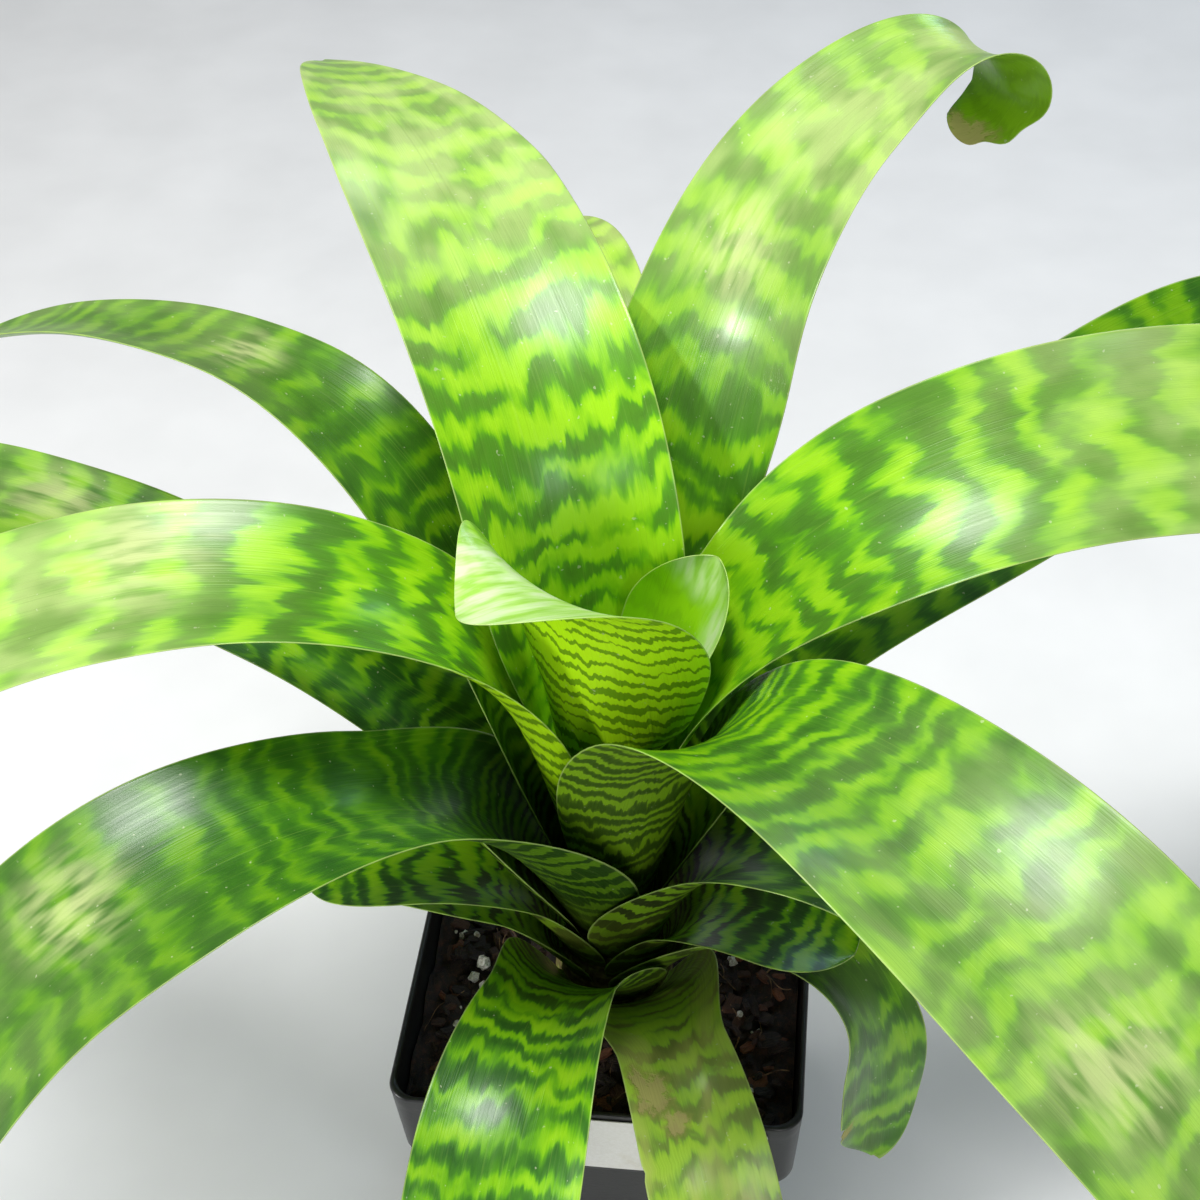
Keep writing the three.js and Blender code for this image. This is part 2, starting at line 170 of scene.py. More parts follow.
# %% Shader sums
class Wire:
    """An output socket that takes part in sums. Each operator adds one Math node to its tree."""

    def __init__(self, socket):
        self.socket = socket

    def node(self, kind, settings=None, sockets=None, out=0):
        """Adds a node: first its settings, then the values or wires of its sockets."""
        made = self.socket.id_data.nodes.new(kind)
        for name, value in (settings or {}).items():
            if name == "stops":
                while len(made.color_ramp.elements) < len(value):
                    made.color_ramp.elements.new(0.5)
                for element, (position, colour) in zip(made.color_ramp.elements, value):
                    element.position, element.color = position, (*colour, 1)
            else:
                setattr(made, name, value)
        for name, value in (sockets or {}).items():
            if isinstance(value, Wire):
                self.socket.id_data.links.new(value.socket, made.inputs[name])
            else:
                made.inputs[name].default_value = value
        return Wire(made.outputs[out])

    def sum(self, operation, first, second):
        """Math node of two values, either of which may be a wire."""
        return self.node("ShaderNodeMath", {"operation": operation}, {0: first, 1: second})

    def __add__(self, other):
        return self.sum("ADD", self, other)

    def __radd__(self, other):
        return self.sum("ADD", other, self)

    def __sub__(self, other):
        return self.sum("SUBTRACT", self, other)

    def __rsub__(self, other):
        return self.sum("SUBTRACT", other, self)

    def __mul__(self, other):
        return self.sum("MULTIPLY", self, other)

    def __rmul__(self, other):
        return self.sum("MULTIPLY", other, self)

    def parts(self):
        """The three numbers of a vector, each as a wire of its own."""
        split = self.node("ShaderNodeSeparateXYZ", {}, {0: self}).socket.node
        return [Wire(output) for output in split.outputs]

    def joined(self, x, y, z):
        """Vector of three numbers, any of which may be a wire."""
        return self.node("ShaderNodeCombineXYZ", {}, {0: x, 1: y, 2: z})

    def noise(self, detail=2.0, roughness=0.5, scale=1.0):
        """Soft noise from 0 to 1 at this vector, with blobs about 1 / scale wide."""
        return self.node("ShaderNodeTexNoise", {}, {"Vector": self, "Scale": scale, "Detail": detail,
                                                    "Roughness": roughness})

    def ripple(self):
        """Sine of a running count: one swing from -1 to 1 for each unit."""
        return self.node("ShaderNodeMath", {"operation": "SINE"}, {0: self * (2 * math.pi)})

    def step(self, low, high):
        """0 below low, 1 above high and an eased rise between."""
        return self.node("ShaderNodeMapRange", {"interpolation_type": "SMOOTHSTEP"},
                         {"Value": self, "From Min": low, "From Max": high})

    def ramp(self, *stops):
        """Colour read off a ramp with stops of (position, colour)."""
        return self.node("ShaderNodeValToRGB", {"stops": stops}, {0: self})

    def tint(self, colour, amount):
        """This colour * (1 - amount) + another * amount, where the amount may be a wire."""
        colour = colour if isinstance(colour, Wire) else (*colour, 1)
        return self.node("ShaderNodeMix", {"data_type": "RGBA"}, {0: amount, 6: self, 7: colour}, out=2)

    def tints(self, *layers):
        """This colour under several others, each given with its amount, the lowest first."""
        stacked = self
        for colour, amount in layers:
            stacked = stacked.tint(colour, amount)
        return stacked

    def bump(self, distance, strength=1.0):
        """Relief with this height, where 1 stands for distance in metres."""
        return self.node("ShaderNodeBump", {}, {"Height": self, "Distance": distance,
                                                "Strength": strength})


def new_finish(name, **fixed):
    """A material whose own sockets have fixed values; returns it with a wire to build on."""
    material = bpy.data.materials.new(name)
    material.use_nodes = True
    shader = material.node_tree.nodes["Principled BSDF"]
    for socket, value in fixed.items():
        shader.inputs[socket.replace("_", " ")].default_value = value
    return material, Wire(shader.outputs[0])


def connect(start, **wires):
    """Joins wires to the sockets of the finish that have these names."""
    shader = start.socket.node
    for socket, wire in wires.items():
        start.socket.id_data.links.new(wire.socket, shader.inputs[socket.replace("_", " ")])


def object_mm(start):
    """Object coordinates, counted in millimetres."""
    where = start.node("ShaderNodeTexCoord", out=3)
    return start.node("ShaderNodeVectorMath", {"operation": "SCALE"}, {0: where, "Scale": 1 / MM})


def attribute(start, name):
    """The vector that a mesh holds at each point under this name."""
    return start.node("ShaderNodeAttribute", {"attribute_name": name}, out=1)


# %% [markdown]
# ## The leaf's surface
# A leaf of this plant is a strap of even width with a blunt tip. Its foot wraps the stem as a
# sheath, and above it the strap opens into a shallow channel that arches over. So a leaf is a
# midrib, summed from a climb and a heading, with an arc laid across it. The sheath is the midrib
# turned round the stem's axis. Modelling each leaf by hand would not keep nineteen of them clear
# of one another; a formula with a few numbers a leaf does.

# %% Leaf formula
STEM_FOOT_Z, STEM_FOOT_RADIUS = 84, 15.2
STEM_TIP_Z, STEM_TIP_RADIUS = 144, 2.6
LEAF_SEAT, LEAF_THICK = 0.5, 0.8
SPINE_STEPS = 240
TIP_HALF, TIP_ROUND = 0.8, 0.62
NECK_START = 0.1
WAVES_ALONG, WAVE_START, WAVE_FULL, WAVE_SHIFT = 3, 0.25, 0.6, 0.23


def ease(low, high, x):
    """0 below low, 1 above high, and 3t^2 - 2t^3 between."""
    t = np.clip((x - low) / (high - low), 0, 1)
    return t * t * (3 - 2 * t)


def through(values, x):
    """Smooth curve through values spaced evenly from 0 to 1: on each stretch the cubic whose slope
    at a value is half the difference of the values beside it."""
    values = np.asarray(values, float)
    ends = np.concatenate([[2 * values[0] - values[1]], values, [2 * values[-1] - values[-2]]])
    u = np.clip(x, 0, 1) * (len(values) - 1)
    i = np.minimum(u.astype(int), len(values) - 2)
    t = u - i
    a, b, c, d = ends[i], ends[i + 1], ends[i + 2], ends[i + 3]
    return b + 0.5 * t * (c - a + t * (2 * a - 5 * b + 4 * c - d + t * (3 * (b - c) + d - a)))


def stem_radius(z):
    """Radius of the stem's cone at a height: straight from its foot to its tip."""
    return STEM_FOOT_RADIUS + (STEM_TIP_RADIUS - STEM_FOOT_RADIUS) * (z - STEM_FOOT_Z) / (
        STEM_TIP_Z - STEM_FOOT_Z)


def midrib(leaf, s):
    """Points of the midrib at s from 0 to 1: the foot just off the stem, plus the sum of short
    steps along (cos climb cos heading, cos climb sin heading, sin climb)."""
    start = np.radians(leaf["azimuth"])
    radius = stem_radius(leaf["foot"]) + LEAF_SEAT + LEAF_THICK / 2
    mid = (np.arange(SPINE_STEPS) + 0.5) / SPINE_STEPS
    climb = np.radians(through(leaf["climb"], mid))
    heading = np.radians(leaf["azimuth"] + leaf["swing"] * mid ** 2)
    steps = np.stack([np.cos(climb) * np.cos(heading), np.cos(climb) * np.sin(heading), np.sin(climb)])
    path = np.concatenate([np.zeros((3, 1)), np.cumsum(steps, 1)], 1) * leaf["length"] / SPINE_STEPS
    path += np.array([[radius * math.cos(start)], [radius * math.sin(start)], [leaf["foot"]]])
    return np.stack([np.interp(s, np.linspace(0, 1, SPINE_STEPS + 1), axis) for axis in path], -1)


def strap_half(leaf, s):
    """Half-width of the strap: a neck that eases into the full blade, times a blunt tip
    (1 - x^blunt)^0.62, where x runs over the tapering end."""
    blade = leaf["width"] / 2 * (leaf["neck"] + (1 - leaf["neck"]) * ease(NECK_START, leaf["full"], s))
    x = np.clip((s - leaf["taper"]) / (1 - leaf["taper"]), 0, 1)
    return blade * (1 - x ** leaf["blunt"]) ** TIP_ROUND


def leaf_sheet(leaf, s, v):
    """Middle surface of a leaf: s from foot to tip, v from the right margin (-1) to the left (1).
    Blade: midrib + across * b sin(cv) + inward * (b (1 - cos(cv)) + wave), with c the channel's
    half-angle and b = half-width / c. Sheath: the midrib turned by wrap * v round the stem's axis.
    The point goes over from sheath to blade between part and open."""
    m = midrib(leaf, s)
    climb = np.radians(through(leaf["climb"], s))
    heading = np.radians(leaf["azimuth"] + leaf["swing"] * s ** 2)
    roll = np.radians(through(leaf["roll"], s))[..., None]
    channel = np.radians(through(leaf["channel"], s))
    side = np.stack([-np.sin(heading), np.cos(heading), 0 * s], -1)
    over = np.stack([-np.sin(climb) * np.cos(heading), -np.sin(climb) * np.sin(heading), np.cos(climb)], -1)
    across = side * np.cos(roll) + over * np.sin(roll)
    inward = over * np.cos(roll) - side * np.sin(roll)
    bend = np.maximum(strap_half(leaf, s), TIP_HALF) / channel
    phase = 2 * np.pi * (WAVES_ALONG * s + WAVE_SHIFT * np.sign(v))
    wave = leaf["wave"] * ease(WAVE_START, WAVE_FULL, s) * v * v * np.sin(phase)
    blade = m + across * (bend * np.sin(channel * v))[..., None] + inward * (
        bend * (1 - np.cos(channel * v)) + wave)[..., None]
    turn = np.arctan2(m[..., 1], m[..., 0]) + np.radians(leaf["wrap"]) * v
    out = np.hypot(m[..., 0], m[..., 1])
    sheath = np.stack([out * np.cos(turn), out * np.sin(turn), m[..., 2]], -1)
    return sheath + ease(leaf["part"], leaf["open"], s)[..., None] * (blade - sheath)


# %% [markdown]
# ## Nineteen leaves
# The same numbers as in the solids: azimuth round the stem, height of the foot, length and width
# in millimetres, then the climb, the channel and the roll in degrees at even steps from foot to
# tip. The list goes from the heart of the funnel outwards and down.

# %% Leaf table
LEAVES = {
    "heart_back": dict(azimuth=20, foot=140, length=76, width=33, climb=[84, 76, 70, 66, 62],
                       channel=[80, 74, 60, 55, 50], roll=[0, 0, 0, 5, 10], swing=30, wrap=60, neck=0.5,
                       full=0.7, blunt=2),
    "heart_front": dict(azimuth=270, foot=135, length=122, width=56, climb=[83, 79, 80, 82, 55, -30],
                        channel=[75, 70, 56, 44, 25, 20], roll=[0, 0, -10, 0, 10, 15], swing=-70, wrap=48,
                        open=0.42, neck=0.45, full=0.65, taper=0.8),
    "back_left": dict(azimuth=116, foot=131, length=264, width=52, climb=[80, 78, 27, 2, -18],
                      channel=[75, 46, 24, 15, 12], roll=[0, 0, 0, 12, 15], swing=8, neck=0.92, full=0.28,
                      taper=0.66, blunt=1.6),
    "right_upper": dict(azimuth=18, foot=127, length=270, width=47, climb=[79, 66, 30, 2, -16, -40],
                        channel=[75, 50, 28, 18, 16, 15], roll=[0, 4, 22, 36, 38, 34], wrap=54, neck=0.62,
                        full=0.46, wave=0.4),
    "left_upper": dict(azimuth=190, foot=124, length=262, width=44, climb=[79, 72, 26, -7, -26, -35],
                       channel=[75, 56, 32, 20, 18, 15], roll=[0, 8, 0, -8, -12, -12], swing=4, neck=0.9,
                       full=0.35),
    "back_right": dict(azimuth=73, foot=121, length=247, width=43,
                       climb=[77, 73, 71, 69, 64, 54, 34, 0, -200], channel=[72, 36, 14, 14, 16, 26],
                       roll=[0, 12, 19, 6, -4, -30], swing=-70, wrap=50, neck=0.56, full=0.53,
                       taper=0.77),
    "back_far_left": dict(azimuth=149, foot=117, length=260, width=34, climb=[75, 66, 52, 4, -14, -30],
                          channel=[72, 42, 28, 24, 22, 18], roll=[0, -6, -6, 14, 16, 12], swing=16,
                          neck=0.68, full=0.7),
    "front_right": dict(azimuth=311, foot=115, length=292, width=53, climb=[77, 71, 26, -7, -32, -58],
                        channel=[75, 50, 32, 20, 18, 16], roll=[0, -4, -4, 8, 6, 0], swing=12, wrap=66,
                        neck=0.9, full=0.4, wave=0.8),
    "back": dict(azimuth=97, foot=113, length=208, width=40, climb=[74, 66, 62, 36, -10, -45],
                 channel=[68, 50, 32, 22, 18, 15], swing=26, wrap=60),
    "right_lower": dict(azimuth=34, foot=110, length=255, width=46, climb=[73, 53, 22, 16, 2, -20],
                        channel=[72, 48, 28, 18, 15, 15], roll=[0, 4, 12, 20, 28, 24], swing=4),
    "left_front": dict(azimuth=218, foot=108, length=256, width=53, climb=[73, 56, 15, -15, -43, -58],
                       channel=[70, 54, 30, 25, 20, 15], swing=12, wrap=82, open=0.33, neck=0.66,
                       full=0.62, wave=0.8),
    "left_rear": dict(azimuth=168, foot=105, length=250, width=40, climb=[71, 47, 31, 20, -2, -18],
                      channel=[70, 52, 32, 20, 18, 15], roll=[0, -4, 4, 4, 10, 8], swing=10, wave=0.6),
    "right_front_high": dict(azimuth=334, foot=102, length=135, width=40,
                             climb=[72, 63, 43, 15, -10, -32], channel=[70, 60, 45, 30, 20, 15], wrap=80,
                             open=0.34),
    "left_low_high": dict(azimuth=199, foot=99, length=78, width=31, climb=[71, 58, 42, 24, 8, -20],
                          channel=[70, 60, 42, 30, 24, 15], wrap=70),
    "right_front_low": dict(azimuth=334, foot=96, length=70, width=34, climb=[70, 61, 45, 26, 6, -10],
                            channel=[70, 60, 45, 30, 20, 15], wrap=66),
    "left_low": dict(azimuth=187, foot=93.5, length=90, width=36, climb=[69, 50, 31, 15, -4, -14],
                     channel=[70, 60, 36, 26, 20, 15], roll=[0, -8, -6, 0, 4, 0], wrap=68, taper=0.66,
                     blunt=1.8),
    "right_low": dict(azimuth=336, foot=91, length=130, width=27, climb=[68, 47, 10, -64, -86, -90],
                      channel=[70, 54, 40, 30, 20, 15], roll=[0, 0, 0, -12, 8, 0], swing=-36, wrap=64,
                      wave=2),
    "front": dict(azimuth=259, foot=88.5, length=161, width=39, climb=[66, 43, 4, -32, -52, -76],
                  channel=[70, 58, 36, 20, 20, 15], roll=[0, 6, 8, 0, 0, 0], swing=14, wrap=54),
    "front_low": dict(azimuth=293, foot=86, length=140, width=31, climb=[62, 26, -25, -54, -67, -74],
                      channel=[70, 48, 28, 20, 15, 12], wrap=60, neck=0.84),
}
LEAF_DEFAULTS = dict(swing=0, roll=[0, 0], wrap=72, part=0.05, open=0.3, neck=0.8, full=0.55,
                     taper=0.72, blunt=2.4, wave=0)
print("longest leaf, mm:", max(given["length"] for given in LEAVES.values()))

# %% [markdown]
# ## Marks of growth and wear, painted shade and painted sheen
# Each leaf carries numbers that the finish reads. Age runs from the pale heart (0) to the dull
# lowest leaves (1). The bands have a pitch in millimetres that changes along the leaf: tight on
# the sheath, wide in the middle, tighter again near the tip. Scars and pale places are spots at
# (s, v) with a radius in millimetres; off the heart the pale places are partly painted highlight.
# Painted shade makes a whole leaf deeper green where it lies in shadow, faded leaves turn olive,
# a painted pale sheen stands in for highlight in patches towards the tip, and nicks are bites out
# of a margin.

# %% Leaf habits
AGE = dict(zip(LEAVES, np.linspace(0, 1, len(LEAVES)).round(2)))
RIPPLED_AGE = 0.1
SCARS = {
    "front_low": [(0.36, -0.55, 5.5), (0.41, -0.30, 3.6), (0.33, -0.75, 3.0)],
    "back_right": [(0.985, -0.7, 5.0)],
    "right_low": [(0.86, -0.92, 3.2)],
}
# Painted shade: how much deeper green each leaf is made because it lies in the shadow of others.
PAINTED_SHADE = {"left_front": 1.0, "right_lower": 0.6, "back_far_left": 0.8, "left_rear": 0.5, "right_low": 0.6,
         "front": 0.4, "front_right": 0.5, "back_right": 0.45, "right_upper": 0.2}
FADED = {"front_low": 0.85, "back": 0.45, "right_low": 0.1}
# Painted sheen: how strongly a pale haze, standing in for highlight, lies towards the tip.
PAINTED_SHEEN = {"back_left": 1.0, "back_right": 0.9, "left_upper": 0.85, "right_upper": 0.6, "front_right": 0.4,
          "back": 0.7, "back_far_left": 0.3, "left_rear": 0.3, "left_front": 0.2}
NICKS = {
    "back_right": [(0.955, -1, 0.16, 0.010), (0.975, -1, 0.22, 0.007), (0.965, 1, 0.07, 0.006)],
    "right_low": [(0.84, -1, 0.16, 0.012), (0.87, -1, 0.10, 0.008)],
    "front_low": [(0.47, -1, 0.04, 0.008)],
}
# Pale places: blanched tips on the heart leaves, and on the others cream patches that are partly painted
# highlight.
PALE = {"heart_front": [(0.92, 0.1, 24)], "heart_back": [(0.78, -1.05, 10), (1.0, 0, 9)],
        "back_right": [(0.62, 0.15, 13)], "left_upper": [(0.58, -0.40, 17)],
        "left_front": [(0.60, -0.3, 13)], "back_far_left": [(0.62, -0.2, 10)],
        "front_right": [(0.72, -0.25, 14)], "front": [(0.86, -0.2, 9)],
        "left_rear": [(0.66, -0.3, 12)], "right_upper": [(0.82, 0.3, 13)]}
PITCH = [4.0, 5.2, 8.5, 12.5, 12.5, 9.5, 7.5]
PITCH_SHARE = {"left_upper": 1.5, "right_upper": 1.3, "back_left": 1.15, "heart_back": 0.7,
               "left_low": 0.6, "left_low_high": 0.6, "right_front_low": 0.6, "front": 0.75,
               "front_low": 0.8, "back_far_left": 0.85, "left_rear": 0.9, "left_front": 0.8,
               "front_right": 0.85}
LEAF_ROWS = {"back_right": 190, "right_low": 150}
SPOT_REACH = 1.6
COUNT_STEPS = 400
print("scars:", sum(map(len, SCARS.values())), "pale places:", sum(map(len, PALE.values())))


def band_count(name, length, s):
    """Number of bands between the foot and s: the sum of short lengths over the pitch there."""
    fine = np.linspace(0, 1, COUNT_STEPS + 1)
    pitch = through(PITCH, fine[1:]) * PITCH_SHARE.get(name, 1)
    return np.interp(s, fine, np.concatenate([[0], np.cumsum(length / COUNT_STEPS / pitch)]))


def spots_near(spots, length, half, s, v):
    """1 in the middle of each spot, falling to 0 at its radius times the reach; the greatest wins."""
    near = np.zeros_like(s)
    for at, beside, radius in spots:
        away = np.hypot((s - at) * length, (v - beside) * half) / radius
        near = np.maximum(near, 1 - np.clip(away, 0, SPOT_REACH) / SPOT_REACH)
    return near


def nick(name, s, v):
    """How far a margin is bitten in, as a share of the half-width: the sum of bells along s."""
    depth = np.zeros_like(s * v)
    for at, side, deep, wide in NICKS.get(name, []):
        depth += deep * np.exp(-((s - at) / wide) ** 2) * (v * side > 0)
    return depth


# %% [markdown]
# ## Building a leaf
# A strap with square edges looks cut from card. The real one is thickest along the middle and
# ends in a fine rounded margin, so the section is a loop: v = -cos(a) and height = sin(a) raised
# to a low power, which is flat on both faces and round at the margins. The loop is carried from
# foot to tip, with rows crowded where the tip curves.

# %% Leaves
HALF_LOOP = 26
ROWS = 110
ROW_CROWDING = 1.7
SEED_STEP = 3.7
EDGE_POWER, EDGE_THINNING, TIP_THINNING = 0.35, 0.3, 0.35
RIPPLE_HIGH, RIPPLE_SHORT, RIPPLE_LONG, RIPPLE_SLANT = 0.35, 0.09, 0.041, 2.2


def leaf_piece(name, given, seed):
    """The loop of a section at each row: the middle surface at (s, v) moved along its normal by
    the half-thickness, times |sin a| to the edge power with the sign of sin a. A product of two
    slow sines ripples the outer half of every leaf but the two in the heart."""
    leaf = {**LEAF_DEFAULTS, **given}
    rows = LEAF_ROWS.get(name, ROWS)
    s1 = 1 - (1 - np.linspace(0, 1, rows)) ** ROW_CROWDING
    a = np.arange(2 * HALF_LOOP) * np.pi / HALF_LOOP
    v_half = -np.cos(a[:HALF_LOOP + 1])
    s, v = np.meshgrid(s1, v_half, indexing="ij")
    middle = leaf_sheet(leaf, s, v * (1 - nick(name, s, v)))
    along, across = np.gradient(middle, axis=0), np.gradient(middle, axis=1)
    normal = np.cross(along, across)
    normal /= np.linalg.norm(normal, axis=-1, keepdims=True)
    far = s * leaf["length"]
    ripples = np.sin(RIPPLE_SHORT * far + RIPPLE_SLANT * v + seed) * np.sin(RIPPLE_LONG * far + seed)
    ripples = RIPPLE_HIGH * ripples * ease(0.45, 0.65, s) * (AGE[name] > RIPPLED_AGE)
    middle = middle + normal * ripples[..., None]
    half_thick = LEAF_THICK / 2 * (1 - EDGE_THINNING * v ** 2) * (1 - TIP_THINNING * ease(0.8, 1, s))

    loop = np.concatenate([np.arange(HALF_LOOP + 1), np.arange(HALF_LOOP - 1, 0, -1)])
    height = np.sign(np.sin(a)) * np.abs(np.sin(a)) ** EDGE_POWER
    height[[0, HALF_LOOP]] = 0
    grid = middle[:, loop] + normal[:, loop] * (half_thick[:, loop] * height)[..., None]

    half = np.maximum(strap_half(leaf, s), TIP_HALF)
    edge = np.minimum(half * (1 - np.abs(v)), leaf["length"] * (1 - s))
    scar, pale = (spots_near(spots.get(name, []), leaf["length"], half, s, v) for spots in (SCARS, PALE))
    upper = np.broadcast_to((np.sin(a) > -1e-6).astype(float), (rows, len(a)))
    everywhere = np.ones((rows, len(a)))
    counted = band_count(name, leaf["length"], s)
    fields = {
        "strap": np.stack([q[:, loop] for q in (half * v, counted, far)], -1),
        "spot": np.stack([upper, everywhere * seed, edge[:, loop]], -1),
        "habit": np.stack([everywhere * AGE[name], scar[:, loop], pale[:, loop]], -1),
        # cast holds the painted shade, the fading and the painted sheen of the whole leaf.
        "cast": np.stack([everywhere * share.get(name, 0) for share in (PAINTED_SHADE, FADED, PAINTED_SHEEN)], -1),
    }
    return sealed_tube("strap_" + name, grid, fields)


straps = {name: leaf_piece(name, given, SEED_STEP * k) for k, (name, given) in enumerate(LEAVES.items())}
print("leaves:", len(straps), "faces:", sum(len(p.data.polygons) for p in straps.values()))

# %% [markdown]
# ## Marbled leaf
# The pattern is ragged cross-bands of dark green on lime. Growth draws each cell row out along
# the leaf, so the edge of a band is a comb of short lengthwise streaks. One noise shifts the band
# count by an amount that changes quickly across the leaf and slowly along it, and a second noise,
# stretched across the leaf, is read at the shifted place. The underside has finer, nearly black
# lines, close together on a sheath; towards the tip its ground turns a middle lime, painted light
# shining through the leaf. Over the bands lie tints, as in a stack of thin paints: the plain
# yellow-green foot, painted shade on leaves that lie in shadow, fading, a painted pale sheen that
# stands in for highlight towards the tips, the blanched tips of the heart, cream places that are
# partly painted highlight, veins, the thin pale margin, specks and scars. A clear coat that follows
# the veins breaks the shine up.

# %% Marbled leaf
leaf_finish, start = new_finish("marbled_leaf", Coat_Roughness=0.22, Specular_IOR_Level=0.18)
across, bands, along = attribute(start, "strap").parts()
upper, seed, edge = attribute(start, "spot").parts()
age, scar, pale = attribute(start, "habit").parts()
painted_shade, faded, painted_sheen = attribute(start, "cast").parts()

comb = start.joined(across * 0.20, along * 0.045, seed).noise(1.5, 0.5)
fine_comb = start.joined(across * 0.9, along * 0.10, seed + 5).noise(2.0, 0.55)
wander = start.joined(across * 0.045, bands * 0.35, seed + 41).noise(1.0, 0.5)
ragged = 1.5 - along.step(50, 170) * 0.95
shifted = bands + (wander - 0.5) * 1.6 + ragged * ((comb - 0.5) * 0.95 + (fine_comb - 0.5) * 0.40)
blobs = start.joined(across * 0.085, shifted * 0.80, seed + 11).noise(2.0, 0.55)
holes = start.joined(across * 0.24, shifted * 2.4, seed + 17).noise(1.5, 0.5)
drift = start.joined(across * 0.02, bands * 0.16, seed + 23).noise(1.0, 0.5)
tone = 0.5 + shifted.ripple() * 0.17 + (blobs - 0.5) * 1.10 + (holes - 0.5) * 0.45 + (drift - 0.5) * 0.3
old = age.step(0.12, 0.50)
base = 1 - along.step(20, 75)
outer = along.step(130, 240)
tone = tone * 1.25 - 0.125 + (0.56 - tone) * outer * 0.20
# Painted shade flattens and darkens the bands of leaves that lie in shadow.
tone = tone + (0.42 - tone) * painted_shade * 0.40 - painted_shade * 0.03
tone = tone + (1 - along.step(45, 125)) * (1 - old) * 0.20 + base * old * 0.12
fresh = 1 - age.step(0.01, 0.09)
dark_base = (0.48 - tone).step(-0.02, 0.08) * base * old
upper_colour = tone.ramp(
    (0.18, (0.028, 0.115, 0.012)), (0.36, (0.052, 0.190, 0.012)), (0.46, (0.084, 0.275, 0.010)),
    (0.53, (0.128, 0.375, 0.006)), (0.62, (0.195, 0.475, 0.005)), (0.84, (0.290, 0.590, 0.008)))
upper_colour = upper_colour.tints(
    ((0.150, 0.350, 0.014), (0.52 - tone).step(0.0, 0.25) * (1 - old) * 0.30),
    ((0.330, 0.680, 0.008), fresh * 0.75),
    ((0.032, 0.018, 0.010), dark_base * 0.75))

lines = along * (0.215 - 0.055 * old) + (wander - 0.5) * 1.8 + (comb - 0.5) * 1.2 + (fine_comb - 0.5) * 0.8
broken = start.joined(across * 0.09, lines * 0.7, seed + 31).noise(2.0, 0.5)
line_tone = lines.ripple() * 0.5 + (broken - 0.5) * 1.7
thin, thick = line_tone.step(0.12, 0.28), line_tone.step(-0.20, -0.04)
line_colour = old.ramp((0.0, (0.085, 0.210, 0.004)), (1.0, (0.014, 0.016, 0.007)))
ground = old.ramp((0.0, (0.410, 0.720, 0.006)), (1.0, (0.150, 0.290, 0.010)))
inked = (thin * (1 - old) * 0.85 + thick * old * 0.92) * (1 - 0.75 * along.step(90, 190))

veins = start.joined(across * 2.4, along * 0.006, seed).noise(2.0, 0.6)
foot = 1 - along.step(4, 34)
patches = start.joined(across * 0.10, along * 0.05, seed + 53).noise(2.0, 0.5)
# Painted sheen: pale haze in patches towards the tip, standing in for highlight.
painted_haze = painted_sheen * along.step(105, 190) * (0.45 + patches.step(0.36, 0.62) * 0.55)
blanched = start.joined(across * 0.35, along * 0.09, seed + 61).noise(2.0, 0.6).ramp(
    (0.36, (0.330, 0.600, 0.090)), (0.50, (0.520, 0.740, 0.270)), (0.64, (0.680, 0.790, 0.480)))
heart = 1 - age.step(0.07, 0.10)
brushed = start.joined(across * 0.30, along * 0.06, seed + 67).noise(2.0, 0.6).step(0.34, 0.62)
# Cream places off the heart: pale patches, partly painted highlight.
cream_and_highlight = pale.step(0.10, 0.95) * brushed * (1 - heart)
specks = start.joined(across * 0.8, along * 0.8, seed + 71).noise(1.0, 0.4).step(0.74, 0.79)
torn = scar + (start.joined(across * 0.4, along * 0.4, seed + 3).noise(3.0, 0.65) - 0.5) * 1.1
hurt = scar.step(0.02, 0.12)
scarred = torn.step(0.46, 0.66) * hurt
colour = ground.tints(
    # The underside's ground turns a middle lime towards the tip: painted light shining through the thin
    # leaf.
    ((0.230, 0.480, 0.008), along.step(90, 190) * 0.8),
    (line_colour, inked),
    (upper_colour, upper),
    ((0.24, 0.31, 0.030), foot * (0.70 - 0.3 * old)),
    # painted shade: the whole leaf deeper green where it lies in shadow
    ((0.008, 0.060, 0.001), painted_shade * 0.52),
    ((0.46, 0.50, 0.12), faded * (0.35 + patches.step(0.42, 0.62) * 0.45)),
    # painted sheen: a pale haze standing in for highlight
    ((0.60, 0.73, 0.27), painted_haze * upper * 0.60),
    (blanched, pale.step(0.05, 0.60) * upper * heart * 0.85),
    # cream places, partly painted highlight
    ((0.66, 0.71, 0.32), cream_and_highlight * upper * 0.52),
    ((0.34, 0.55, 0.06), (veins - 0.5).step(0.05, 0.35) * 0.20),
    ((0.03, 0.07, 0.008), (0.5 - veins).step(0.05, 0.35) * 0.20),
    ((0.42, 0.54, 0.16), (1 - edge.step(0.10, 0.40)) * 0.55),
    ((0.60, 0.62, 0.42), specks * 0.35),
    ((0.26, 0.28, 0.06), torn.step(0.24, 0.50) * hurt * 0.6),
    ((0.42, 0.34, 0.14), scarred * 0.65))

rough = 0.36 + (veins - 0.5) * 0.24 + (drift - 0.5) * 0.12 + scarred * 0.35 + (1 - upper) * 0.10
relief = veins + tone * 0.30 - scarred * 1.2
coat = (0.32 + (veins - 0.5) * 0.8 - scarred * 0.2) * (1 - base * old * 0.6)
connect(start, Base_Color=colour, Roughness=rough, Coat_Weight=coat, Normal=relief.bump(0.00012, 0.9))
print("nodes in the leaf finish:", len(leaf_finish.node_tree.nodes))

for name, piece in straps.items():
    finish_piece(piece, "leaf_" + name, leaf_finish)

# %% [markdown]
# ## Stem
# Between the lowest sheaths and the mix a little of the stem shows. It is ringed by the scars of
# leaves that have gone. It is a profile turned round the axis, with a shallow ridge at each ring.

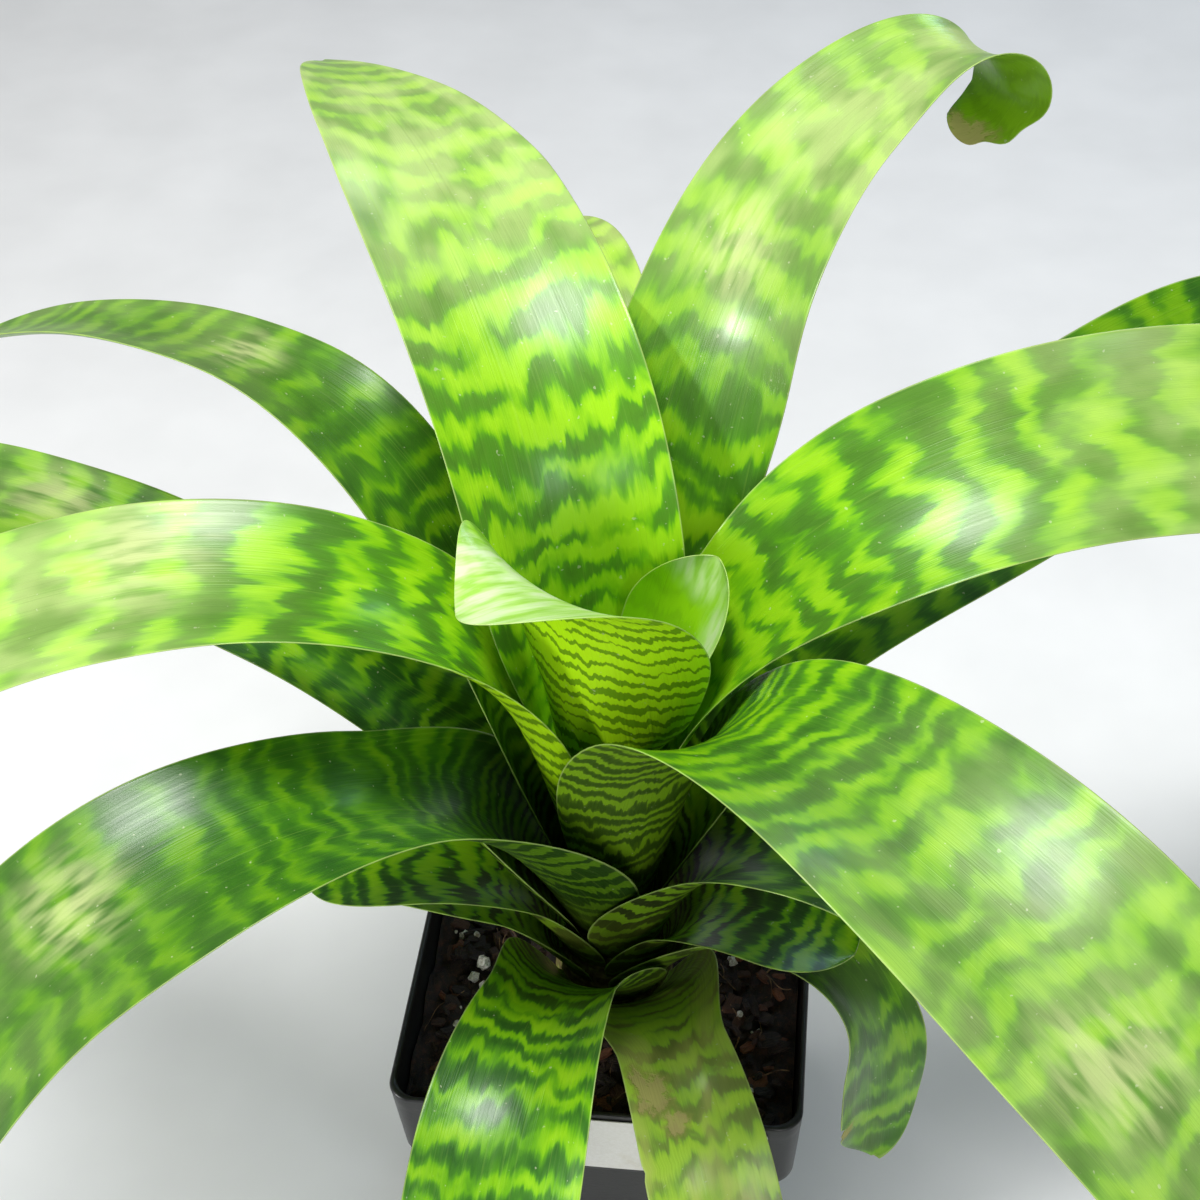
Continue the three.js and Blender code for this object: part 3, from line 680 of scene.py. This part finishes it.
# %% Stem
PEG_RADIUS, PEG_FOOT_Z, PEG_TAPER = 11, 58, 6
RING_PITCH, RING_HIGH, RING_SUNK = 3.1, 0.18, 0.15
AROUND = 96


def turned(profile, around=AROUND, wobble=0.0):
    """Rings of a turned body: each (radius, z) of the profile carried once round the Z axis, with
    the radius swelling by wobble * sin(3 angle + z)."""
    radius, z = np.asarray(profile, float).T
    angle = np.arange(around) * 2 * np.pi / around
    out = radius[:, None] + wobble * np.sin(3 * angle[None] + z[:, None]) * (radius[:, None] > 1)
    return np.stack([out * np.cos(angle), out * np.sin(angle), np.broadcast_to(z[:, None], out.shape)], -1)


cone_z = np.linspace(STEM_FOOT_Z, STEM_TIP_Z, 90)
rings = RING_HIGH * np.abs(np.sin(np.pi * (cone_z - STEM_FOOT_Z) / RING_PITCH)) ** 0.4 - RING_SUNK
stem_profile = ([(0.5, PEG_FOOT_Z), (PEG_RADIUS - 2, PEG_FOOT_Z), (PEG_RADIUS, PEG_FOOT_Z + PEG_TAPER),
                 (PEG_RADIUS, STEM_FOOT_Z), (STEM_FOOT_RADIUS - 0.4, STEM_FOOT_Z),
                 (STEM_FOOT_RADIUS, STEM_FOOT_Z + 0.4)]
                + list(zip(stem_radius(cone_z[1:]) + rings[1:], cone_z[1:])) + [(0.4, STEM_TIP_Z)])
stem_core = sealed_tube("stem_core", turned(stem_profile, wobble=0.06))

stem_finish, start = new_finish("ringed_stem")
where = object_mm(start)
x, y, z = where.parts()
blotches = where.noise(3.0, 0.6, 0.35)
fibres = start.joined(x * 0.8, y * 0.8, z * 0.08).noise(3.0, 0.6, 1.5)
ring_lines = (z * (1 / RING_PITCH)).ripple()
stem_colour = blotches.ramp((0.35, (0.10, 0.062, 0.022)), (0.5, (0.19, 0.17, 0.045)),
                            (0.66, (0.30, 0.33, 0.075)))
stem_colour = stem_colour.tint((0.05, 0.03, 0.012), ring_lines.step(0.4, 1.0) * 0.6)
stem_colour = stem_colour.tint((0.32, 0.24, 0.11), fibres.step(0.5, 0.7) * 0.4)
connect(start, Base_Color=stem_colour, Roughness=0.62 + fibres * 0.25,
        Normal=(fibres + ring_lines * 0.4).bump(0.0003))
finish_piece(stem_core, "stem", stem_finish)
print("stem faces:", len(stem_core.data.polygons))

# %% [markdown]
# ## Pot
# A nursery pot is blown or moulded thin: a tapered square with soft corners, a taller collar with
# a step below it, and a rolled rim. It is one closed profile, from the middle of the underside up
# the outside, over the rim and down inside to the floor, carried round a square with rounded
# corners. Four drain holes are cut through the floor afterwards with a Boolean.

# %% Pot
POT_TOP, COLLAR_TOP_HALF, COLLAR_FOOT_HALF = 90, 50, 48.4
SHOULDER_Z, WALL_TOP_HALF, FOOT_HALF = 64, 45.4, 37
WALL, FLOOR, CORNER = 1.5, 2, 6
DRAIN_RADIUS, DRAIN_OFFSET = 4, 22
CORNER_STEPS, SIDE_STEPS = 14, 26
RECESS, FOOT_ROUND, STEP_ROUND, LIP_ROUND, WALL_BOW = 0.9, 0.9, 0.9, 0.7, 0.35
FLAT_STEPS = [0.5, 12, 24, 30]


def wall_half(z):
    """Half the outer width of the wall at a height: straight from foot to shoulder."""
    return FOOT_HALF + (WALL_TOP_HALF - FOOT_HALF) * z / SHOULDER_Z


def collar_half(z):
    """Half the outer width of the collar at a height: straight from shoulder to top."""
    return COLLAR_FOOT_HALF + (COLLAR_TOP_HALF - COLLAR_FOOT_HALF) * (z - SHOULDER_Z) / (
        POT_TOP - SHOULDER_Z)


def square_rings(half, corner, z, bow=0.0):
    """Rounded squares, one a row: each quarter is an arc of the corner's radius and a straight
    side, turned by quarter turns. Sides may bow inwards by bow * (1 - u^2), with u from -1 to 1."""
    half, corner, z, bow = (np.broadcast_to(np.asarray(q, float), (len(np.atleast_1d(z)),))[:, None]
                            for q in (half, corner, z, bow))
    arc = np.linspace(0, np.pi / 2, CORNER_STEPS + 1)[None]
    u = np.linspace(1, -1, SIDE_STEPS + 1)[None, 1:-1]
    px = np.concatenate([half - corner + corner * np.cos(arc), u * (half - corner)], 1)
    py = np.concatenate([half - corner + corner * np.sin(arc), half - bow * (1 - u * u)], 1)
    pz = np.broadcast_to(z, px.shape)
    quarters = [np.stack([px * c - py * t, px * t + py * c, pz], -1)
                for c, t in ((1, 0), (0, 1), (-1, 0), (0, -1))]
    return np.concatenate(quarters, 1)


def arc_profile(centre_half, centre_z, radius, start_deg, end_deg, steps=6):
    """(half, z) along a small arc of the pot's section, angles from outwards towards upwards."""
    turn = np.radians(np.linspace(start_deg, end_deg, steps))
    return list(zip(centre_half + radius * np.cos(turn), centre_z + radius * np.sin(turn)))


rim = WALL / 2
outside = ([(h, RECESS) for h in FLAT_STEPS] + [(FOOT_HALF - 3.4, RECESS), (FOOT_HALF - 2.8, 0.0)]
           + arc_profile(FOOT_HALF - FOOT_ROUND, FOOT_ROUND, FOOT_ROUND, -90, 0)
           + [(wall_half(z), z) for z in np.linspace(1.2, SHOULDER_Z - 1.6, 34)]
           + arc_profile(wall_half(SHOULDER_Z) + STEP_ROUND, SHOULDER_Z - STEP_ROUND, STEP_ROUND,
                         180, 90, 5)
           + arc_profile(COLLAR_FOOT_HALF - LIP_ROUND, SHOULDER_Z + LIP_ROUND, LIP_ROUND, -90, 0, 5)
           + [(collar_half(z), z) for z in np.linspace(SHOULDER_Z + 1, POT_TOP - 4.2, 14)]
           + [(collar_half(POT_TOP - 3.9) + 0.02, POT_TOP - 3.9)]
           + [(collar_half(POT_TOP - 3.4), POT_TOP - 3.4)]
           + arc_profile(COLLAR_TOP_HALF - rim, POT_TOP - rim, rim, 0, 180, 11))
inside = ([(collar_half(z) - WALL, z) for z in np.linspace(POT_TOP - 1.4, SHOULDER_Z + WALL, 12)]
          + [(wall_half(SHOULDER_Z) - WALL, SHOULDER_Z - 0.2)]
          + [(wall_half(z) - WALL, z) for z in np.linspace(SHOULDER_Z - 2, FLOOR + 0.8, 14)]
          + arc_profile(wall_half(FLOOR) - WALL - 1.0, FLOOR + 1.0, 1.0, 0, -90, 5)
          + [(h, FLOOR) for h in FLAT_STEPS[::-1]])
pot_half, pot_z = np.array(outside + inside).T
pot_corner = np.minimum(np.where(np.arange(len(pot_half)) < len(outside), CORNER, CORNER - WALL),
                        pot_half * 0.6)
pot_bow = WALL_BOW * ease(8, 40, pot_z) * (1 - ease(60, 66, pot_z))
shell = sealed_tube("pot_shell", square_rings(pot_half, pot_corner, pot_z, pot_bow))

for i, j in ((1, 1), (-1, 1), (-1, -1), (1, -1)):
    bar = turned([(DRAIN_RADIUS, -1), (DRAIN_RADIUS, FLOOR + 1)], 40)
    cutter = sealed_tube("drain", bar + np.array([i, j, 0]) * DRAIN_OFFSET, smooth=False)
    cut = shell.modifiers.new("drain", "BOOLEAN")
    cut.object, cut.operation, cut.solver = cutter, "DIFFERENCE", "EXACT"
    bpy.context.view_layer.objects.active = shell
    bpy.ops.object.modifier_apply(modifier=cut.name)
    bpy.data.objects.remove(cutter)
shell.data.polygons.foreach_set("use_smooth", np.ones(len(shell.data.polygons), bool))
shell.data.set_sharp_from_angle(angle=math.radians(40))
print("pot faces:", len(shell.data.polygons))

# %% [markdown]
# The plastic is black, a little glossy and slightly grained. Handling leaves fine scuffs, and dried
# water leaves a pale film that is strongest near the foot.

# %% Pot plastic
pot_finish, start = new_finish("black_pot_plastic", Specular_IOR_Level=0.5)
where = object_mm(start)
x, y, z = where.parts()
grain = where.noise(2.0, 0.6, 1.6)
film = start.joined(x * 0.05, y * 0.05, z * 0.02).noise(4.0, 0.65)
drips = start.joined(x * 0.35, y * 0.35, z * 0.02).noise(3.0, 0.6)
scuffs = start.joined(x * 0.25, y * 0.25, z * 2.2).noise(4.0, 0.7)
low = 1 - z.step(2, 26)
watered = (film * 0.6 + drips * 0.4).step(0.47, 0.66) * (0.35 + low * 0.5)
pot_colour = grain.ramp((0.3, (0.010, 0.0105, 0.0115)), (0.7, (0.016, 0.0165, 0.018)))
pot_colour = pot_colour.tint((0.17, 0.16, 0.145), watered * 0.28)
pot_colour = pot_colour.tint((0.08, 0.078, 0.075), scuffs.step(0.60, 0.72) * 0.30)
connect(start, Base_Color=pot_colour,
        Roughness=0.30 + grain * 0.10 + watered * 0.28 + scuffs.step(0.55, 0.7) * 0.12,
        Normal=(grain * 0.5 + scuffs * 0.4).bump(0.00008, 0.7))
finish_piece(shell, "pot", pot_finish)
print("nodes in the pot finish:", len(pot_finish.node_tree.nodes))

# %% [markdown]
# ## Bark mix
# The mix is one body that fills the pot, with a fine lumpy top, and on it lie separate pieces:
# flakes of bark, grains of perlite and a few fibres. The body is rings that go from a circle
# round the stem's peg to the rounded square of the wall, so the top is smooth at the stem and
# meets the pot all round.

# %% Bark mix
SEAT, SOIL_TOP, SOIL_OFF_WALL = 0.3, 80.5, 0.52
TOP_RINGS = 84
CRUMB_SINK = 0.5


def soil_height(x, y):
    """Height of the mix: broad heaps from a sum of three slow waves, eased to level at the stem."""
    heaps = (1.1 * np.sin(0.31 * x + 0.9) * np.cos(0.27 * y - 0.4)
             + 0.8 * np.sin(0.62 * x - 0.35 * y + 2.1) + 0.6 * np.cos(0.18 * x + 0.71 * y))
    away = ease(STEM_FOOT_RADIUS + 1, STEM_FOOT_RADIUS + 10, np.hypot(x, y))
    return (STEM_FOOT_Z - SEAT) * (1 - away) + (SOIL_TOP + heaps) * away


def crumb(x, y):
    """Small relief on the mix: sines at a few turned directions with uneven waves."""
    total = 0
    for k, (wave, turn, high) in enumerate(((1.1, 0.4, 0.32), (1.7, 1.9, 0.26), (2.6, 2.8, 0.2),
                                            (3.7, 0.9, 0.15), (5.1, 2.3, 0.1))):
        u, w = x * np.cos(turn) + y * np.sin(turn), y * np.cos(turn) - x * np.sin(turn)
        total = total + high * np.sin(wave * u + 1.3 * np.sin(0.8 * wave * w + k))
    return total


off = WALL + SOIL_OFF_WALL
square = square_rings([collar_half(SOIL_TOP) - off, COLLAR_FOOT_HALF - off, wall_half(SHOULDER_Z) - off,
                       wall_half(FLOOR) - off], CORNER - WALL, [0, SHOULDER_Z + WALL + SEAT, SHOULDER_Z,
                                                              FLOOR + SEAT])
angle = np.arctan2(square[0, :, 1], square[0, :, 0])
circle = np.stack([np.cos(angle), np.sin(angle), 0 * angle], -1) * (PEG_RADIUS + SEAT)
share = np.linspace(0, 1, TOP_RINGS)[:, None, None]
top = circle * (1 - share) + square[0] * share
flat = ease(0, 0.12, share[..., 0]) * (1 - ease(0.985, 1, share[..., 0]))
x, y = top[..., 0], top[..., 1]
flat = flat * ease(STEM_FOOT_RADIUS, STEM_FOOT_RADIUS + 8, np.hypot(x, y))
top[..., 2] = soil_height(x, y) + (crumb(x, y) - CRUMB_SINK) * flat
peg_hole = [circle * k + np.array([0, 0, PEG_FOOT_Z - SEAT]) for k in (0.1, 1.0)]
mix_rings = np.concatenate([peg_hole, top, square[1:], [square[3] * [0.1, 0.1, 1]]])
mix = sealed_tube("bark_mix", mix_rings)

mix_finish, start = new_finish("bark_mix_dark")
where = object_mm(start)
lump = where.noise(4.0, 0.62, 0.45)
speck = where.noise(3.0, 0.7, 1.9)
mix_colour = lump.ramp((0.34, (0.004, 0.002, 0.002)), (0.5, (0.014, 0.007, 0.005)),
                       (0.64, (0.045, 0.017, 0.008)))
mix_colour = mix_colour.tint((0.14, 0.055, 0.024), speck.step(0.60, 0.70) * 0.7)
connect(start, Base_Color=mix_colour, Roughness=0.72 + speck * 0.2,
        Normal=(lump * 0.6 + speck * 0.5).bump(0.0009))
finish_piece(mix, "soil", mix_finish)
print("mix heaped to, mm:", top[..., 2].max().round(1))

# %% [markdown]
# Flakes and grains are one small faceted lump each, copied some hundreds of times with its own
# size, turn and tone. A particle system would scatter them too, but plain arrays keep the count,
# the seed and the places in our own hands, and the whole scatter is a single mesh.

# %% Flakes and grains
LUMP_ROWS, LUMP_AROUND = 6, 9
FLAKES, SMALL_GRAINS = 620, 40
FEW_GRAINS_FROM_X = 8


def rotated(a, b, angles):
    """Two coordinates of each lump, turned by its angle."""
    cosine, sine = np.cos(angles)[:, None], np.sin(angles)[:, None]
    return a * cosine - b * sine, a * sine + b * cosine


def lumps(name, centres, sizes, turns, tilts, tones, boxiness, rough=0.22):
    """Many closed lumps in one mesh. Each is a ball on a grid of angles with its coordinates
    raised to the power boxiness, so that it turns blocky, shaken by seeded noise, scaled by its
    three sizes, tilted, turned and moved to its centre."""
    count = len(centres)
    polar = np.linspace(0.12, np.pi - 0.12, LUMP_ROWS)[:, None]
    azimuth = (np.arange(LUMP_AROUND) * 2 * np.pi / LUMP_AROUND)[None]
    ball = np.stack([np.sin(polar) * np.cos(azimuth), np.sin(polar) * np.sin(azimuth),
                     np.broadcast_to(np.cos(polar), (LUMP_ROWS, LUMP_AROUND))], -1)
    ball = np.sign(ball) * np.abs(ball) ** boxiness
    ball = with_ends(ball)
    shaken = ball[None] * (1 + rough * dice.uniform(-1, 1, (count, len(ball), 1)))
    body = shaken * np.asarray(sizes)[:, None] / 2
    x, y, z = np.moveaxis(body, -1, 0)
    x, z = rotated(x, z, tilts)
    x, y = rotated(x, y, turns)
    points = np.stack([x, y, z], -1) + np.asarray(centres)[:, None]
    quads, triangles = tube_faces(LUMP_ROWS, LUMP_AROUND)
    shift = (np.arange(count) * len(ball))[:, None, None]
    field = np.stack([body[..., 0], body[..., 1], np.broadcast_to(np.asarray(tones)[:, None], x.shape)], -1)
    return mesh_piece(name, points.reshape(-1, 3) * MM, (quads[:, ::-1][None] + shift).reshape(-1, 4),
                      (triangles[:, ::-1][None] + shift).reshape(-1, 3), {"flake": field.reshape(-1, 3)},
                      smooth=False)


def scatter(count, inner, margin):
    """Seeded places on the mix, outside a circle round the stem and inside the wall."""
    limit = collar_half(SOIL_TOP) - off - margin
    xy = dice.uniform(-limit, limit, (count * 3, 2))
    return xy[np.hypot(*xy.T) > inner][:count]


flake_xy = scatter(FLAKES, 18.5, 3.5)
count = len(flake_xy)
flake_long = dice.uniform(2.2, 8.0, count) * dice.uniform(0.6, 1.0, count)
flake_size = np.stack([flake_long, flake_long * dice.uniform(0.35, 0.75, count),
                       dice.uniform(0.7, 1.7, count)], -1)
flake_z = soil_height(*flake_xy.T) + dice.uniform(-0.5, 0.7, count)
flakes = lumps("bark_flakes", np.column_stack([flake_xy, flake_z]), flake_size,
               dice.uniform(0, np.pi, count), dice.normal(0, 0.22, count), dice.uniform(0, 1, count), 0.62)

PERLITE_SPOTS = [(-34, -2, 4.2), (-36, -6, 2.8), (-33, -9, 3.0), (-38, -21, 2.4), (-36, -37, 4.0),
                 (-24, -6, 2.6), (-25, -1, 2.2), (-41, 8, 2.5), (37, -34, 2.2), (33, -12, 1.8),
                 (30, 6, 2.6), (36, 17, 2.4), (-12, -42, 2.2), (6, 40, 3.2)]
spots = np.array(PERLITE_SPOTS)
small_xy = scatter(SMALL_GRAINS, 20, 3)
small_xy = small_xy[(small_xy[:, 0] < FEW_GRAINS_FROM_X) | (np.arange(len(small_xy)) % 3 == 0)]
perlite_xy = np.concatenate([spots[:, :2], small_xy])
perlite_r = np.concatenate([spots[:, 2], dice.uniform(0.7, 2.0, len(small_xy))])
perlite_z = soil_height(*perlite_xy.T) + 0.3 * perlite_r
perlite = lumps("perlite_grains", np.column_stack([perlite_xy, perlite_z]),
                perlite_r[:, None] * dice.uniform(0.75, 1.1, (len(perlite_r), 3)),
                dice.uniform(0, np.pi, len(perlite_r)), dice.normal(0, 0.4, len(perlite_r)),
                dice.uniform(0, 1, len(perlite_r)), 0.85, 0.26)
print("flakes:", count, "grains:", len(perlite_r))

flake_finish, start = new_finish("bark_flake")
along, beside, tone = attribute(start, "flake").parts()
fibre = start.joined(along * 0.5, beside * 5.0, tone * 40).noise(3.0, 0.6)
flake_colour = tone.ramp((0.0, (0.008, 0.004, 0.003)), (0.50, (0.024, 0.011, 0.007)),
                         (0.80, (0.075, 0.025, 0.011)), (1.0, (0.20, 0.065, 0.024)))
flake_colour = flake_colour.tint((0.004, 0.003, 0.002), fibre.step(0.5, 0.68) * 0.6)
flake_colour = flake_colour.tint((0.24, 0.12, 0.055), (0.48 - fibre).step(0.0, 0.16) * 0.18)
connect(start, Base_Color=flake_colour, Roughness=0.55 + fibre * 0.3, Normal=fibre.bump(0.0004))
finish_piece(flakes, None, flake_finish)

perlite_finish, start = new_finish("perlite")
where = object_mm(start)
pits = where.noise(3.0, 0.6, 2.2)
dirt = where.noise(3.0, 0.6, 0.5)
perlite_colour = pits.ramp((0.3, (0.42, 0.38, 0.31)), (0.5, (0.74, 0.71, 0.64)), (0.7, (0.86, 0.85, 0.81)))
perlite_colour = perlite_colour.tint((0.20, 0.12, 0.07), dirt.step(0.52, 0.68) * 0.7)
connect(start, Base_Color=perlite_colour, Roughness=0.8 + pits * 0.15, Normal=pits.bump(0.0006))
finish_piece(perlite, None, perlite_finish)

# %% [markdown]
# Coir fibres lie across the flakes. Each is a thin tube along a gently bent line that follows the
# height of the mix.

# %% Fibres
FIBRES, FIBRE_POINTS, FIBRE_AROUND = 46, 12, 5


def fibre_grid(x, y, heading, length, bend, radius):
    """Tube round a line whose heading turns evenly by bend along its length, laid on the mix."""
    t = np.linspace(0, 1, FIBRE_POINTS)
    way = heading + bend * (t - 0.5)
    px = x + np.cumsum(np.cos(way)) * length / FIBRE_POINTS
    py = y + np.cumsum(np.sin(way)) * length / FIBRE_POINTS
    limit = collar_half(SOIL_TOP) - off - 1
    px, py = np.clip(px, -limit, limit), np.clip(py, -limit, limit)
    a = np.arange(FIBRE_AROUND) * 2 * np.pi / FIBRE_AROUND
    thick = radius * (1 - 0.5 * t)[:, None]
    pz = soil_height(px, py) + 0.5 + 0.35 * np.sin(7 * t + x)
    return np.stack([px[:, None] - np.sin(way)[:, None] * np.cos(a) * thick,
                     py[:, None] + np.cos(way)[:, None] * np.cos(a) * thick,
                     pz[:, None] + np.sin(a) * thick], -1)


grids = [fibre_grid(x, y, dice.uniform(0, 6.3), dice.uniform(7, 19), dice.uniform(-1.6, 1.6),
                    dice.uniform(0.14, 0.28)) for x, y in scatter(FIBRES, 24, 9)]
stride = FIBRE_POINTS * FIBRE_AROUND + 2
fibre_points = np.concatenate([with_ends(grid) for grid in grids])
faces = [tube_faces(FIBRE_POINTS, FIBRE_AROUND, k * stride) for k in range(len(grids))]
fibres_piece = mesh_piece("coir_fibres", fibre_points * MM, np.concatenate([q for q, _ in faces]),
                          np.concatenate([t for _, t in faces]))
fibre_finish, start = new_finish("coir_fibre")
strands = object_mm(start).noise(2.0, 0.5, 0.6)
connect(start, Base_Color=strands.ramp((0.35, (0.07, 0.035, 0.016)), (0.65, (0.26, 0.15, 0.07))),
        Roughness=0.6 + strands * 0.3)
finish_piece(fibres_piece, None, fibre_finish)
print("fibres:", len(grids))

# %% [markdown]
# ## Label
# A stuck-on paper label sits high on the front of the collar. A plain flat plate would look like
# card, so the sheet has round corners, a faint swell where it has blistered from watering, and an
# edge that lifts a little.

# %% Label
LABEL_LEFT, LABEL_RIGHT, LABEL_TOP, LABEL_HEIGHT = -12, 42, 88.6, 22
PAPER_THICK, PAPER_GAP, BLISTER, EDGE_LIFT = 0.24, 0.30, 0.07, 0.12
LABEL_COLUMNS, LABEL_ROUND = 40, 2.2
label_x, label_z = (LABEL_LEFT + LABEL_RIGHT) / 2, LABEL_TOP - LABEL_HEIGHT / 2
half_w, half_h = (LABEL_RIGHT - LABEL_LEFT) / 2, LABEL_HEIGHT / 2
lean = math.atan2(COLLAR_TOP_HALF - COLLAR_FOOT_HALF, POT_TOP - SHOULDER_Z)


def label_sheet(x, h):
    """Point of the paper's middle: x along the collar and h up it, standing off by a base gap plus
    a blister, a product of slow sines, and a lift that grows with the fourth power of the edge."""
    blister = BLISTER * np.sin(0.21 * x + 0.4) * np.sin(0.33 * h + 1.0)
    lift = EDGE_LIFT * ((x / half_w) ** 4 + (h / half_h) ** 4) / 2
    gap = PAPER_GAP + PAPER_THICK / 2 + blister + lift
    out = collar_half(label_z) + gap / math.cos(lean) + h * math.sin(lean)
    return np.stack([label_x + x, -out, label_z + h * math.cos(lean)], -1)


def label_grid():
    """Closed loop of a sheet's section carried from left to right: up the front face and down the
    back, at each x as high as the rounded corners let it be."""
    x = -np.cos(np.linspace(0.02, np.pi - 0.02, LABEL_COLUMNS)) * half_w
    inset = np.clip(np.abs(x) - (half_w - LABEL_ROUND), 0, LABEL_ROUND)
    high = half_h - LABEL_ROUND + np.sqrt(LABEL_ROUND ** 2 - inset ** 2)
    u = np.linspace(-1, 1, 21)
    middle = label_sheet(*np.broadcast_arrays(x[:, None], high[:, None] * u[None]))
    out = np.array([0, -math.cos(lean), -math.sin(lean)]) * PAPER_THICK / 2
    return np.concatenate([middle + out, middle[:, ::-1] - out], 1)


label = sealed_tube("paper_label", label_grid())
label.data.set_sharp_from_angle(angle=math.radians(50))
label_finish, start = new_finish("label_paper")
where = object_mm(start)
pulp = where.noise(4.0, 0.7, 1.2)
stain = where.noise(3.0, 0.6, 0.09)
paper = pulp.ramp((0.3, (0.78, 0.77, 0.73)), (0.7, (0.86, 0.855, 0.83)))
paper = paper.tint((0.60, 0.55, 0.42), stain.step(0.52, 0.72) * 0.35)
connect(start, Base_Color=paper, Roughness=0.62 + pulp * 0.25, Normal=pulp.bump(0.00006))
finish_piece(label, "label", label_finish)
print("label faces:", len(label.data.polygons))

# %% [markdown]
# ## Floor and light
# A pale floor and soft lights. The long highlights on the arching leaves ask for one straight
# above; lower ones on the left, on the right and in front reach into the funnel. A weak blue one
# behind gives the crests of the near leaves a cool sheen.

# %% Floor and light
floor_mesh = bpy.data.meshes.new("floor")
floor_mesh.from_pydata([(-4, -4, 0), (4, -4, 0), (4, 4, 0), (-4, 4, 0)], [], [(0, 1, 2, 3)])
floor = add_object("floor", floor_mesh)
floor_finish, start = new_finish("pale_floor")
soft = object_mm(start).noise(3.0, 0.5, 0.02)
connect(start, Base_Color=soft.ramp((0.3, (0.74, 0.74, 0.73)), (0.7, (0.79, 0.79, 0.78))),
        Roughness=0.55 + soft * 0.1)
floor_mesh.materials.append(floor_finish)


def soft_light(name, place, aim, size, watts, colour=(1, 1, 1)):
    """Square area light at a place, turned to look at a point."""
    light = bpy.data.lights.new(name, "AREA")
    light.size, light.energy, light.color = size, watts, colour
    away = np.asarray(place, float) - np.asarray(aim, float)
    away /= np.linalg.norm(away)
    beside = np.cross([0, 0, 1], away)
    beside /= np.linalg.norm(beside)
    over = np.cross(away, beside)
    add_object(name, light).matrix_world = axes_matrix(beside, over, away, place)


soft_light("overhead", (-0.08, 0.08, 1.25), (0, 0, 0.2), 0.38, 13.2)
soft_light("left", (-0.95, -0.50, 0.50), (0, 0, 0.2), 0.13, 7.5)
soft_light("right", (0.75, -0.80, 0.80), (0, 0, 0.2), 0.30, 2.8, (0.85, 0.93, 1.0))
soft_light("front", (0.10, -1.15, 0.56), (0, 0, 0.15), 0.50, 4.8)
soft_light("behind", (0.30, 1.00, 0.72), (0, 0, 0.2), 0.30, 1.5, (0.52, 0.74, 1.0))
world = bpy.data.worlds.new("studio")
world.use_nodes = True
world.node_tree.nodes["Background"].inputs[0].default_value = (0.92, 0.94, 0.96, 1)
world.node_tree.nodes["Background"].inputs[1].default_value = 0.18
bpy.context.scene.world = world
bpy.context.scene.view_settings.view_transform = "Standard"
print("lights:", len(bpy.data.lights))
